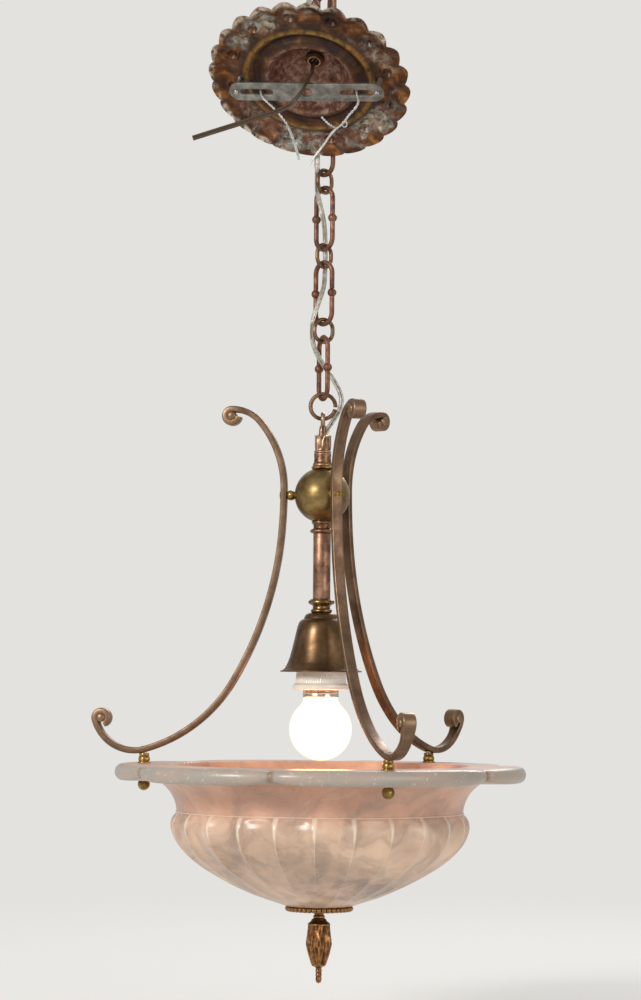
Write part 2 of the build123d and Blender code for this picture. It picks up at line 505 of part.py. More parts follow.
def bottom_fittings(rim):
    h_foot = bowl_outline[-1][1]
    h_floor = h_foot + wall
    hole = finial_rod_dia + 2 * slip
    rosette = wavy_disc(rosette_dia / 2, 1.5, rosette_leaves, h_foot - 2.6, h_foot)
    rosette += turned([(0, h_foot - 1), (rosette_dia / 2 - 3.0, h_foot - 1), (rosette_dia / 2 - 4.4, h_foot - 3.6),
                       (8.0, h_foot - rosette_thick), (0, h_foot - rosette_thick)])
    rosette -= rod(hole, -130, -90)
    h_under = h_foot - rosette_thick
    outline = [(r, h_under - d) for r, d in finial_outline]
    finial = turned([(0, h_under)] + outline + [(0, outline[-1][1])])
    finial -= rod(hole, h_under - 8, h_under + 1)
    h_washer = h_floor + inner_washer_thick
    pieces = {
        "bottom_rosette": rosette,
        "finial": finial,
        "finial_rod": rod(finial_rod_dia, h_under - 7.8, h_washer + inner_nut_thick + 2.0),
        "inner_washer": tube(inner_washer_dia, hole, h_floor, h_washer),
        "inner_nut": hexagon(inner_nut_flats, hole, h_washer, h_washer + inner_nut_thick),
    }
    return {name: Pos(0, 0, rim) * solid for name, solid in pieces.items()}


# ================================================================ canopy
def branch_start():
    """Where the folded end of the chain hangs on the top link's bow, and that bow's direction there."""
    bow = (long_width - long_wire) / 2
    along = Vector(math.cos(math.radians(long_yaw)), math.sin(math.radians(long_yaw)), 0)
    lean = math.radians(branch_bow_angle)
    up = Vector(0, 0, 1)
    start = up * (long_wire / 2 - bow) + up * (bow * math.cos(lean)) - along * (bow * math.sin(lean))
    return start, along * math.cos(lean) + up * math.sin(lean)


def canopy_plane(turn=0.0):
    """The canopy's own frame: its mouth's centre, X level across it, Z towards its loop.
    Its back edge leans on the chain, and its loop hangs as far below the top link as three links reach."""
    reach = 2 * (small_height - 2 * small_wire - hang_gap) + long_height - 2 * long_wire - 2 * hang_gap
    reach -= long_wire / 2
    start, _ = branch_start()
    eye = canopy_axis * (canopy_eye_height + loop_inner / 2)
    pitch = small_height - 2 * small_wire + long_height - 2 * long_wire - 2 * hang_gap
    back = math.sqrt(1 - canopy_axis.Y**2) * canopy_radius * 0.9914
    drop = abs(canopy_axis.Y) * canopy_radius * 0.9914
    knop_out = 0.0
    for _ in range(2):  # where the edge meets a knop instead of the plain wire, it leans that much further out
        front_face = (long_width - long_wire) / 2 * math.sin(math.radians(-long_yaw)) + long_wire / 2 + knop_out
        y = -(back + front_face - canopy_seat)
        across = canopy_x + eye.X - start.X, y + eye.Y - start.Y
        z = start.Z - math.sqrt(reach**2 - across[0] ** 2 - across[1] ** 2) - eye.Z
        links_down = (long_wire - long_height / 2 - (z - drop)) / pitch
        beside_knop = abs(links_down - round(links_down)) * pitch < knop_dia
        knop_out = (knop_dia - long_wire) / 2 + hang_gap if beside_knop else 0.0
    level = (Vector(1, 0, 0) - canopy_axis * canopy_axis.X).normalized()
    turned_level = level * math.cos(math.radians(turn)) + canopy_axis.cross(level) * math.sin(math.radians(turn))
    return Plane(origin=(canopy_x, y, z), x_dir=turned_level, z_dir=canopy_axis)


def canopy_pieces():
    frame = canopy_plane()
    bar_frame = canopy_plane(bar_turn)
    print("mouth", tuple(round(v, 2) for v in frame.origin), "bar x", tuple(round(v, 4) for v in bar_frame.x_dir))
    t, deep, rad = canopy_wall, canopy_depth, canopy_radius

    def dish(inset):
        """The filled dish, its skin moved in by `inset`."""
        skin = [(0, deep), (25.0, deep), (29.5, deep - 1.6), (31.5, deep - 5.0), (33.0, 14.5), (39.0, 12.0),
                (43.0, 12.8), (46.0, 13.6), (49.0, 12.0), (56.0, 9.4), (64.0, 8.6), (69.0, 7.2), (rad, 2.5),
                (rad + 1, 0)]
        moved = [(max(r - inset * (0.85 if r > 26 else 0), 0), z - inset * (0.9 if r < 70 else 0.2)) for r, z in skin]
        moved[-1] = (moved[-2][0] + 0.3, -1 if inset else 0)
        full = turned([(0, -1 if inset else 0)] + moved)
        edge = wavy_disc(rad - inset, scallop_bite, canopy_scallops, -2, deep + 2)
        return full & edge

    shell = dish(0) - dish(t)
    for boss in around(canopy_bosses, Pos(boss_circle, 0, 9.0 - t - boss_radius + 1.3) * Sphere(boss_radius), 15):
        shell -= boss
    shell -= rod(nipple_dia + 2 * slip, 0, 40)
    turned_bar = Rot(0, 0, bar_turn)
    for side in (-1, 1):
        shell -= turned_bar * rod(bar_screw_dia + 0.8, -5, 30, x=side * bar_screw_circle)
    pieces = {"canopy": frame * shell}

    h_eye = canopy_eye_height
    collar_top = h_eye - loop_inner / 2 - loop_wire / 2
    eye_yaw = eye_direction()
    eye = Pos(0, 0, h_eye) * Rot(0, 0, eye_yaw) * Rot(90, 0, 0) * Torus((loop_inner + loop_wire) / 2, loop_wire / 2)
    collar = turned([(0, deep), (loop_collar_dia / 2, deep), (loop_collar_dia / 2, deep + 3.0),
                     (loop_collar_dia / 2 - 1.6, deep + 4.6), (4.6, collar_top), (0, collar_top)])
    way_out = Rot(0, 0, eye_yaw) * Pos(0, 0, h_cord_bend) * Rot(cord_exit_angle, 0, 0) * rod(cord_dia + 2.0, -1, 16)
    loop = eye + collar - rod(nipple_dia + 2 * slip, 0, deep + 5) - way_out
    pieces["canopy_loop"] = frame * loop
    pieces["canopy_nipple"] = frame * tube(nipple_dia, nipple_bore, deep - t - locknut_thick - 1.4, deep + 4.8)
    pieces["canopy_locknut"] = frame * tube(locknut_dia, nipple_dia + 2 * slip, deep - t - locknut_thick, deep - t)

    plate = SlotOverall(bar_length, bar_width)
    plate -= Circle(bar_hole_dia / 2)
    for side in (-1, 1):
        plate -= Pos(side * slot_centre, 0) * SlotOverall(slot_length, slot_width)
        plate -= Pos(side * bar_screw_circle, 0) * Circle(bar_screw_dia / 2 + slip)
    pieces["crossbar"] = bar_frame * Pos(0, 0, -bar_proud) * extrude(plate, bar_thick)
    solid_dish = turned_bar.inverse() * dish(0)
    pieces["crossbar_screws"] = []
    for side in (-1, 1):
        x = side * bar_screw_circle
        head = rod(bar_screw_head, screw_head_low, screw_head_top, x=x) - solid_dish
        shank = rod(bar_screw_dia, -bar_proud - 1.4, screw_head_top - 0.2, x=x)
        pieces["crossbar_screws"].append(bar_frame * (shank + head))
    return pieces


def branch_axes():
    """The folded end of the chain: where it leaves the top link, and its width, side and up directions."""
    start, width = branch_start()
    loop = canopy_plane().from_local_coords(Vector(0, 0, canopy_eye_height + loop_inner / 2))
    up = (start - loop).normalized()
    width = (width - up * width.dot(up)).normalized()
    return start, width, up.cross(width), up


def eye_direction():
    """The turn of the loop about the canopy's axis, square to the last small link's bow."""
    _, width, _, _ = branch_axes()
    plane = canopy_plane()
    return math.degrees(math.atan2(width.dot(plane.y_dir), width.dot(plane.x_dir)))


def branch():
    start, width, side, up = branch_axes()
    contact = start - up * (long_wire / 2)
    pieces, pivots, wire = {}, [("small_1", start, side)], long_wire
    for name, size, knop, x_dir in (
        ("canopy_small_link_1", (small_height, small_width, small_wire), 0, side),
        ("canopy_long_link", (long_height, long_width, long_wire), knop_dia, width),
        ("canopy_small_link_2", (small_height, small_width, small_wire), 0, side),
    ):
        top = contact + up * (long_wire if name.endswith("_1") else 0)
        centre = top + up * (hang_gap + size[2] - size[0] / 2)
        pieces[name] = Plane(origin=centre, x_dir=x_dir, z_dir=up) * link(*size, knop)
        contact = centre + up * (size[2] - size[0] / 2)
        pivots.append((name, contact - up * (size[2] / 2), x_dir))
    loop = canopy_plane().from_local_coords(Vector(0, 0, canopy_eye_height + loop_inner / 2))
    print("branch pivots", [(n, tuple(round(v, 3) for v in p), tuple(round(v, 4) for v in d)) for n, p, d in pivots])
    print("loop gap", round((contact + up * hang_gap - loop).length, 3), "to be nearly 0")
    return pieces


def cords(rim):
    """The cord wound through the whole chain, the canopy's loose lead, and the two wires tied to its bar."""
    pitch = small_height - 2 * small_wire + long_height - 2 * long_wire - 2 * hang_gap
    top = long_wire - long_height / 2
    frame, bar_frame = canopy_plane(), canopy_plane(bar_turn)
    out = math.radians(cord_exit_angle)
    side, rise = cord_exit_run * math.sin(out), h_cord_bend + cord_exit_run * math.cos(out)
    yaw = math.radians(eye_direction())
    in_loop = [(math.sin(yaw) * side, -math.cos(yaw) * side, rise), (0, 0, h_cord_bend), (0, 0, h_cord_end)]
    route = [(x, y, rim + h) for x, y, h in cord_low_run]
    route += [(x, y, top - pitch * place) for x, y, place in cord_chain_run] + cord_fold
    route += [tuple(frame.from_local_coords(Vector(*p))) for p in in_loop]
    runs = {"chain_cord": (route, cord_dia)}
    for name, local, plane, dia in (("canopy_lead", lead_run, frame, lead_dia),
                                    ("tie_wire_left", left_wire_run, bar_frame, tie_wire_dia),
                                    ("tie_wire_right", right_wire_run, bar_frame, tie_wire_dia)):
        runs[name] = ([tuple(plane.from_local_coords(Vector(*p))) for p in local], dia)
    for name, (points, _) in runs.items():
        print(name, "route", [tuple(round(v, 2) for v in p) for p in points])
    return {name: cord(name, *run) for name, run in runs.items()}


# ================================================================ the whole fixture
def main():
    links, contact = chain()
    rim = contact + hang_gap + eye_wire - 254.9  # the eye's top is this far above the rim plane
    print("rim plane at", round(rim, 3))
    parts = dict(links)
    parts["hanger"] = hanger(contact, rim)
    parts.update(stem(rim))
    parts.update(bell_and_socket(rim))
    parts.update(arms(rim))
    parts["alabaster_bowl"] = bowl(rim)
    parts.update(bottom_fittings(rim))
    parts.update(canopy_pieces())
    parts.update(branch())
    parts.update(cords(rim))
    for name, solids in parts.items():
        save(name, solids)
    print(len(parts), "nodes")


main()
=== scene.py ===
import bpy, bmesh, math
import numpy as np
from mathutils import Matrix, Vector, noise


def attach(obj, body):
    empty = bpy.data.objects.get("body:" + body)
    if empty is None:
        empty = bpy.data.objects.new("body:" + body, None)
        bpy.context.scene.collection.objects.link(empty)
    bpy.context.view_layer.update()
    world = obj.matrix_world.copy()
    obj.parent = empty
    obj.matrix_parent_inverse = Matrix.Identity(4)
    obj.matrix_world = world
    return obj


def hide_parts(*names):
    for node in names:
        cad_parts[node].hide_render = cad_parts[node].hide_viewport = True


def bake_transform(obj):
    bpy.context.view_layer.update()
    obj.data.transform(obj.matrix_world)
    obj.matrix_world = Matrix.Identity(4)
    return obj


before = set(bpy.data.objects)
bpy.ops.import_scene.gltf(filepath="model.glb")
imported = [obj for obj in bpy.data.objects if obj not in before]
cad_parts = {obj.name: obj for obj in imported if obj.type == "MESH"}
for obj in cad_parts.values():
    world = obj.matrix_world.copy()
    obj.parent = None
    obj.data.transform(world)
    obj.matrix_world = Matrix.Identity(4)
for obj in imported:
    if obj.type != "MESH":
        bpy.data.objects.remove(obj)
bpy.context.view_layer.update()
mm = 0.001
rimZ = -580.0  # the bowl's rim plane in millimetres; heights named "up" are over it


def newObject(name, data):
    thing = bpy.data.objects.new(name, data)
    bpy.context.scene.collection.objects.link(thing)
    return thing


def makeCamera():
    # metres, degrees, and millimetres of lens
    camera = {"place": (-0.0013, -2.3, -0.5184), "pitch": 93.22, "roll": 0.45, "focal": 178.9, "sensor": 36.0,
              "clip": (0.05, 60)}
    data = bpy.data.cameras.new("camera")
    data.sensor_fit, data.sensor_width, data.lens = "HORIZONTAL", camera["sensor"], camera["focal"]
    data.clip_start, data.clip_end = camera["clip"]
    thing = newObject("camera", data)
    pitch = Matrix.Rotation(math.radians(camera["pitch"]), 4, "X")
    roll = Matrix.Rotation(math.radians(camera["roll"]), 4, "Z")
    thing.matrix_world = Matrix.Translation(camera["place"]) @ pitch @ roll
    bpy.context.scene.camera = thing


# plain meshes, with their points in millimetres

def meshObject(name, points, faces, masks=None, edges=(), unit=mm):
    mesh = bpy.data.meshes.new(name)
    mesh.from_pydata((np.array(points) * unit).tolist(), edges, faces)
    for key, values in (masks or {}).items():
        mesh.attributes.new(key, "FLOAT", "POINT").data.foreach_set("value", np.asarray(values, dtype=np.float32))
    return newObject(name, mesh)


def builtMesh(thing):
    # the plain mesh that a curve or a modifier makes; the object that made it goes
    bpy.context.view_layer.update()
    mesh = bpy.data.meshes.new_from_object(thing.evaluated_get(bpy.context.evaluated_depsgraph_get()))
    bpy.data.objects.remove(thing)
    return mesh


def gridFaces(rows, columns, closeRows=False, closeColumns=False, capEnds=False):
    faces = []
    for i in range(rows if closeRows else rows - 1):
        for j in range(columns if closeColumns else columns - 1):
            below, beside = (i + 1) % rows, (j + 1) % columns
            faces.append((i * columns + j, i * columns + beside, below * columns + beside, below * columns + j))
    if capEnds:
        faces += [tuple(range(columns - 1, -1, -1)), tuple((rows - 1) * columns + k for k in range(columns))]
    return faces


def shadeSmooth(mesh, sharpAt):
    mesh.polygons.foreach_set("use_smooth", [True] * len(mesh.polygons))
    mesh.set_sharp_from_angle(angle=math.radians(sharpAt))


def tidy(thing, mergeAt=0.01, sharpAt=38):
    # welds the seams, points the faces out, and keeps only the true edges sharp
    shape = bmesh.new()
    shape.from_mesh(thing.data)
    bmesh.ops.remove_doubles(shape, verts=shape.verts, dist=mergeAt * mm)
    bmesh.ops.dissolve_degenerate(shape, edges=shape.edges, dist=mergeAt * mm * 0.5)
    bmesh.ops.recalc_face_normals(shape, faces=shape.faces)
    shape.to_mesh(thing.data)
    shape.free()
    shadeSmooth(thing.data, sharpAt)
    return thing


def closeHoles(thing, closing):
    # closing is the bmesh operator for the open edges: bridge_loops between two rims, holes_fill for an end
    shape = bmesh.new()
    shape.from_mesh(thing.data)
    closing(shape, edges=[e for e in shape.edges if e.is_boundary])
    bmesh.ops.recalc_face_normals(shape, faces=shape.faces)
    shape.to_mesh(thing.data)
    shape.free()


def around(count):
    return [2 * math.pi * k / count for k in range(count)]


def polar(radius, angle, z):
    return (radius * math.cos(angle), radius * math.sin(angle), z)


def arc(centre, radius, start, end, count):
    return [(centre[0] + radius * math.cos(a), centre[1] + radius * math.sin(a))
            for a in np.radians(np.linspace(start, end, count))]


def ease(value, low, high):
    t = min(max((value - low) / (high - low), 0.0), 1.0)
    return t * t * (3 - 2 * t)


def bump(value, width, power=2):
    # 1 at nought, falling off to nothing on both sides
    return math.exp(-abs(value / width) ** power)


def rounded(outline, radius):
    # each corner of a closed outline becomes a short arc, but not one on the axis or on a nearly straight run
    flatSine, longest, line = 0.12, 0.45, []
    for i, here in enumerate(outline):
        a, b = np.subtract(outline[i - 1], here), np.subtract(outline[(i + 1) % len(outline)], here)
        la, lb = np.hypot(*a), np.hypot(*b)
        if here[0] < 0.001 or min(la, lb) < 1e-6 or abs(a[0] * b[1] - a[1] * b[0]) < flatSine * la * lb:
            line.append(here)
            continue
        cut = min(radius, longest * la, longest * lb)
        p, q = np.add(here, a / la * cut), np.add(here, b / lb * cut)
        line += [tuple(p), tuple((p + q) * 0.35 + np.array(here) * 0.3), tuple(q)]
    return line


def lathe(name, outline, turns, soft, place=None):
    # a closed outline of (radius, height), turned round +Z and then put in its place
    line = rounded(outline, soft) if soft else outline
    points = [polar(r, t, z) for r, z in line for t in around(turns)]
    thing = meshObject(name, points, gridFaces(len(line), turns, True, True))
    if place:
        thing.data.transform(place)
    return tidy(thing)


def join(name, things):
    spots, faces, start = [], [], 0
    for thing in things:
        spots += [tuple(v.co) for v in thing.data.vertices]
        faces += [tuple(start + i for i in f.vertices) for f in thing.data.polygons]
        start += len(thing.data.vertices)
        bpy.data.objects.remove(thing)
    whole = meshObject(name, spots, faces, unit=1.0)
    shadeSmooth(whole.data, 38)
    return whole


def upRim():
    return Matrix.Translation((0, 0, rimZ * mm))


def paint(thing, key):
    thing.data.materials.clear()
    thing.data.materials.append(finishes[key])


def finish(thing, key, body, *nodes):
    # its finish, the body that it moves with, and the CAD nodes that it stands for
    paint(thing, key)
    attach(thing, body)
    if nodes:
        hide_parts(*nodes)
    return thing


# node trees

def toLinear(code):
    parts = [int(code[i:i + 2], 16) / 255 for i in (1, 3, 5)]
    return tuple(c / 12.92 if c <= 0.04045 else ((c + 0.055) / 1.055) ** 2.4 for c in parts) + (1.0,)


def addNode(tree, kind, settings=None, stops=()):
    # a setting is a property, a socket's value or hex colour, or the node or output that is linked to it
    node = tree.nodes.new(kind)
    for key, value in (settings or {}).items():
        if isinstance(value, bpy.types.Node):
            value = value.outputs[0]
        if isinstance(value, bpy.types.NodeSocket):
            tree.links.new(value, node.inputs[key])
        elif isinstance(key, str) and hasattr(node, key):
            setattr(node, key, value)
        elif isinstance(value, str) and value.startswith("#"):
            node.inputs[key].default_value = toLinear(value)
        else:
            node.inputs[key].default_value = value
    if stops:  # of a colour ramp, which starts with two
        elements = node.color_ramp.elements
        for element, (spot, code) in zip(elements, (stops[0], stops[-1])):
            element.position, element.color = spot, toLinear(code)
        for spot, code in stops[1:-1]:
            elements.new(spot).color = toLinear(code)
    return node


def startTree(name, sockets):
    tree = bpy.data.node_groups.new(name, "GeometryNodeTree")
    tree.interface.new_socket("Geometry", in_out="INPUT", socket_type="NodeSocketGeometry")
    for title, kind in sockets.items():
        tree.interface.new_socket(title, in_out="INPUT", socket_type="NodeSocket" + kind)
    tree.interface.new_socket("Geometry", in_out="OUTPUT", socket_type="NodeSocketGeometry")
    return tree, addNode(tree, "NodeGroupInput").outputs


def endTree(tree, shape, material):
    real = addNode(tree, "GeometryNodeRealizeInstances", {0: shape})
    done = addNode(tree, "GeometryNodeSetMaterial", {0: real, "Material": material})
    addNode(tree, "NodeGroupOutput", {0: done})
    return tree


def ringTree():
    # repeats a piece round +Z
    tree, given = startTree("ringOfPieces", {"Count": "Int", "Start": "Float", "Material": "Material"})
    spots = addNode(tree, "GeometryNodePoints", {"Count": given["Count"]})
    step = addNode(tree, "ShaderNodeMath", {"operation": "DIVIDE", 0: 2 * math.pi, 1: given["Count"]})
    index = addNode(tree, "GeometryNodeInputIndex")
    angle = addNode(tree, "ShaderNodeMath", {"operation": "MULTIPLY_ADD", 0: index, 1: step, 2: given["Start"]})
    turn = addNode(tree, "ShaderNodeCombineXYZ", {"Z": angle})
    rotation = addNode(tree, "FunctionNodeEulerToRotation", {0: turn})
    copies = addNode(tree, "GeometryNodeInstanceOnPoints",
                     {"Points": spots, "Instance": given["Geometry"], "Rotation": rotation})
    return endTree(tree, copies, given["Material"])


def wireTree():
    # a round wire along a line, swollen where the line's "swell" says
    tree, given = startTree("wireAlongLine", {"Radius": "Float", "Sides": "Int", "Material": "Material"})
    section = addNode(tree, "GeometryNodeCurvePrimitiveCircle",
                      {"mode": "RADIUS", "Resolution": given["Sides"], "Radius": given["Radius"]})
    swell = addNode(tree, "GeometryNodeInputNamedAttribute", {"data_type": "FLOAT", "Name": "swell"})
    line = addNode(tree, "GeometryNodeMeshToCurve", {0: given["Geometry"]})
    body = addNode(tree, "GeometryNodeCurveToMesh",
                   {"Fill Caps": True, "Curve": line, "Profile Curve": section, "Scale": swell})
    return endTree(tree, body, given["Material"])


def barTree():
    # a flat bar with eased edges along a line that lies in the XY plane
    tree, given = startTree("barAlongLine", {"Width": "Float", "Thickness": "Float", "Easing": "Float",
                                             "Material": "Material"})
    section = addNode(tree, "GeometryNodeCurvePrimitiveQuadrilateral",
                      {"mode": "RECTANGLE", "Width": given["Thickness"], "Height": given["Width"]})
    eased = addNode(tree, "GeometryNodeFilletCurve",
                    {"mode": "POLY", "Count": 4, "Curve": section, "Radius": given["Easing"]})
    line = addNode(tree, "GeometryNodeMeshToCurve", {0: given["Geometry"]})
    aimed = addNode(tree, "GeometryNodeSetCurveNormal", {"mode": "Z_UP", "Curve": line})
    body = addNode(tree, "GeometryNodeCurveToMesh", {"Fill Caps": True, "Curve": aimed, "Profile Curve": eased})
    return endTree(tree, body, given["Material"])


trees = {"ring": ringTree(), "wire": wireTree(), "bar": barTree()}


def runTree(thing, tree, values):
    # puts the tree on the object, and keeps only the plain mesh that it makes
    modifier = thing.modifiers.new("shape", "NODES")
    modifier.node_group = trees[tree]
    for item in trees[tree].interface.items_tree:
        if item.in_out == "INPUT" and item.name in values:
            modifier[item.identifier] = values[item.name]
    thing.update_tag()
    title = thing.name
    return newObject(title, builtMesh(thing))


def lineObject(name, points, closed=False, swell=None):
    count = len(points)
    edges = [(i, (i + 1) % count) for i in range(count if closed else count - 1)]
    return meshObject(name, points, [], {"swell": [1.0] * count if swell is None else swell}, edges)


def ringOf(thing, count, key, start=0.0, mergeAt=0.01, sharpAt=38):
    made = runTree(thing, "ring", {"Count": count, "Start": math.radians(start), "Material": finishes[key]})
    return tidy(made, mergeAt, sharpAt)


def wireAlong(name, points, dia, key, sides, closed=False, swell=None):
    made = runTree(lineObject(name, points, closed, swell), "wire",
                   {"Radius": dia / 2 * mm, "Sides": sides, "Material": finishes[key]})
    return tidy(made, 0.004)


# materials

def startMaterial(name):
    material = bpy.data.materials.new(name)
    material.use_nodes = True
    material.node_tree.nodes.clear()
    return material, material.node_tree, addNode(material.node_tree, "ShaderNodeTexCoord").outputs["Object"]


def endMaterial(material, settings):
    shader = addNode(material.node_tree, "ShaderNodeBsdfPrincipled", settings)
    addNode(material.node_tree, "ShaderNodeOutputMaterial", {"Surface": shader})
    return material


def lumps(place, size, detail=5.0, rough=0.6, warp=0.0):
    # settings for noise with lumps of about the given size in millimetres
    return {"Vector": place, "Scale": 1 / (size * mm), "Detail": detail, "Roughness": rough, "Distortion": warp}


def spread(source, span, result):
    # settings that turn a span of the source's values into another span
    return {0: source, "From Min": span[0], "From Max": span[1], "To Min": result[0], "To Max": result[1]}


def overlay(tree, base, code, source, span, amount, within=None):
    # lays a tone over the base, by an amount that follows the source, and only within a mask
    cover = addNode(tree, "ShaderNodeMapRange", spread(source, span, amount))
    if within:
        cover = addNode(tree, "ShaderNodeMath", {"operation": "MULTIPLY", 0: within, 1: cover})
    return addNode(tree, "ShaderNodeMix", {"data_type": "RGBA", 0: cover, 6: base, 7: code}).outputs[2]


def patinatedMetal(name, tones, roughness, cloud, grit, dent=0.25, metallic=0.85, spun=None, stain=None, wearAndHighlight=None):
    # aged metal: cloudy oxide over the bare tone, fine pits, and a sheen that dulls where the oxide is thick
    toneAt, shineAt = (0.44, 0.59, 0.76), (0.4, 0.78)  # levels of the cloud: dark, middle, light; dull, bright
    fineShare, pitDepth = 0.2, 0.12
    material, tree, place = startMaterial(name)
    clouds = addNode(tree, "ShaderNodeTexNoise", lumps(place, cloud, 7.0, 0.62, 0.35))
    fine = addNode(tree, "ShaderNodeTexNoise", lumps(place, grit, 4.0))
    mixed = addNode(tree, "ShaderNodeMath", {"operation": "MULTIPLY_ADD", 0: fine, 1: fineShare, 2: clouds})
    tone = addNode(tree, "ShaderNodeValToRGB", {0: mixed}, list(zip(toneAt, tones)))
    if stain:
        code, size, amount = stain
        patch = addNode(tree, "ShaderNodeTexNoise", lumps(place, size, 6.0, 0.7))
        tone = overlay(tree, tone, code, patch, (0.48, 0.66), (0.0, amount))
    if wearAndHighlight:  # the edges and crowns, made lighter: rubbed by wear, and a painted highlight
        convexity = addNode(tree, "ShaderNodeNewGeometry").outputs["Pointiness"]
        tone = overlay(tree, tone, wearAndHighlight, convexity, (0.505, 0.56), (0.0, 0.75))
    height = fine
    if spun:  # lines left by the spinning tool, drawn about 0.6 mm apart so that they show
        stretch = addNode(tree, "ShaderNodeMapping", {"Scale": (12, 12, 1 / (spun * mm)), "Vector": place})
        lines = addNode(tree, "ShaderNodeTexNoise", {"Scale": 1.0, "Detail": 3.0, "Vector": stretch})
        height = addNode(tree, "ShaderNodeMath", {"operation": "ADD", 0: fine, 1: lines})
    relief = addNode(tree, "ShaderNodeBump", {"Strength": dent, "Distance": pitDepth * mm, "Height": height})
    dull = addNode(tree, "ShaderNodeMapRange", spread(mixed, shineAt, (roughness[1], roughness[0])))
    return endMaterial(material, {"Base Color": tone, "Roughness": dull, "Metallic": metallic, "Normal": relief})


def alabasterStone():
    # polished alabaster: a pink neck over a beige-brown body, clouds and veins that lie soft under the polish, a
    # painted highlight on the ridges, painted shade in the clefts, and a rim that handling has left grey and a
    # little chipped
    stone = {"body": [(0.30, "#9A816F"), (0.44, "#C2A48D"), (0.57, "#DAB99F"), (0.74, "#EBD0B8")],
             "neck": [(0.30, "#B88F79"), (0.45, "#CC9C84"), (0.6, "#D9AA8E"), (0.74, "#E3BA9F")],
             "neckFrom": -42, "neckTo": -29, "warp": 0.05}
    material, tree, place = startMaterial("polishedAlabaster")
    warp = addNode(tree, "ShaderNodeTexNoise", lumps(place, 60, 4.0, 0.5))
    push = addNode(tree, "ShaderNodeVectorMath", {"operation": "MULTIPLY_ADD", 0: warp.outputs["Color"],
                                                  1: (stone["warp"],) * 3, 2: place})
    clouds, grey, veins, flecks, mottle = (
        addNode(tree, "ShaderNodeTexNoise", lumps(push, *sizes))
        for sizes in ((46, 8.0, 0.58, 0.4), (60, 8.0, 0.6, 0.8), (80, 9.0, 0.62, 1.2), (18, 5.0, 0.66, 0.5),
                      (30, 8.0, 0.62, 0.5)))
    chips, grain = (addNode(tree, "ShaderNodeTexNoise", lumps(place, *sizes)) for sizes in ((2.4, 3.0), (1.6,)))
    vein = addNode(tree, "ShaderNodeMath", {"operation": "SUBTRACT", 0: veins, 1: 0.5})
    fromVein = addNode(tree, "ShaderNodeMath", {"operation": "ABSOLUTE", 0: vein})
    up = addNode(tree, "ShaderNodeSeparateXYZ", {0: place}).outputs["Z"]
    neckHeights = [(rimZ + stone[key]) * mm for key in ("neckFrom", "neckTo")]
    high = addNode(tree, "ShaderNodeMapRange", spread(up, neckHeights, (0.0, 1.0)))
    body, neck = (addNode(tree, "ShaderNodeValToRGB", {0: clouds}, stone[key]) for key in ("body", "neck"))
    tone = addNode(tree, "ShaderNodeMix", {"data_type": "RGBA", 0: high, 6: body, 7: neck}).outputs[2]
    rim, cleft, pale = (addNode(tree, "ShaderNodeAttribute", {"attribute_name": key}).outputs["Fac"]
                        for key in ("rim", "cleft", "pale"))
    for code, source, span, amount, within in (
            ("#6F6861", grey, (0.52, 0.74), (0.0, 0.34), None),  # soft grey clouds
            ("#7C736E", fromVein, (0.0, 0.07), (0.28, 0.0), None),  # fine veins
            ("#D9C6B2", flecks, (0.6, 0.78), (0.0, 0.4), None),  # pale flecks
            ("#9A958B", mottle, (0.36, 0.62), (0.7, 0.95), rim),  # the handled rim
            ("#D9D3C6", chips, (0.6, 0.7), (0.0, 0.55), rim),  # its chips
            ("#7E6143", cleft, (0.3, 0.95), (0.0, 0.8), None),  # painted shade in the clefts
            ("#EADBC6", pale, (0.0, 1.0), (0.0, 0.8), None)):  # a painted highlight along the ridges and the bead
        tone = overlay(tree, tone, code, source, span, amount, within)
    polish = addNode(tree, "ShaderNodeMapRange", spread(clouds, (0.3, 0.7), (0.24, 0.38)))
    relief = addNode(tree, "ShaderNodeBump", {"Strength": 0.22, "Distance": 0.15 * mm, "Height": grain})
    return endMaterial(material, {"Base Color": tone, "Roughness": polish, "IOR": 1.52, "Subsurface Weight": 0.08,
                                  "Subsurface Radius": (0.9, 0.55, 0.4), "Subsurface Scale": 4 * mm,
                                  "Normal": relief})


def stampedBrass():
    # stamped brass seen from inside: gold on the rib, a bare coppery cup, verdigris, painted shade in the valleys,
    # and a painted highlight on the border and round the bosses
    material, tree, place = startMaterial("patinatedStampedBrass")
    cloud = addNode(tree, "ShaderNodeTexNoise", lumps(place, 13, 8.0, 0.65, 0.6))
    fine = addNode(tree, "ShaderNodeTexNoise", lumps(place, 4.5, 7.0, 0.72, 0.4))
    tone = addNode(tree, "ShaderNodeValToRGB", {0: cloud},
                   [(0.36, "#241208"), (0.46, "#452510"), (0.56, "#693D19"), (0.68, "#9E6B31")])
    # shade is painted shade in the valleys; edge is a painted highlight on the border and round the bosses
    for key, code, span, most in (
            ("copper", "#7A5040", (0.26, 0.5), 0.9), ("copper", "#BFA091", (0.47, 0.66), 0.9),
            ("shade", "#241811", (0.15, 0.5), 0.75), ("gold", "#9A7A34", (0.34, 0.6), 0.9),
            ("verdigris", "#A3A69A", (0.4, 0.6), 0.85), ("edge", "#CFC2AE", (0.4, 0.56), 0.9)):
        mask = addNode(tree, "ShaderNodeAttribute", {"attribute_name": key}).outputs["Fac"]
        tone = overlay(tree, tone, code, fine, span, (0.0, most), mask)
    dull = addNode(tree, "ShaderNodeMapRange", spread(fine, (0.3, 0.7), (0.3, 0.55)))
    relief = addNode(tree, "ShaderNodeBump", {"Strength": 0.4, "Distance": 0.3 * mm, "Height": fine})
    return endMaterial(material, {"Base Color": tone, "Roughness": dull, "Metallic": 0.5, "Normal": relief})


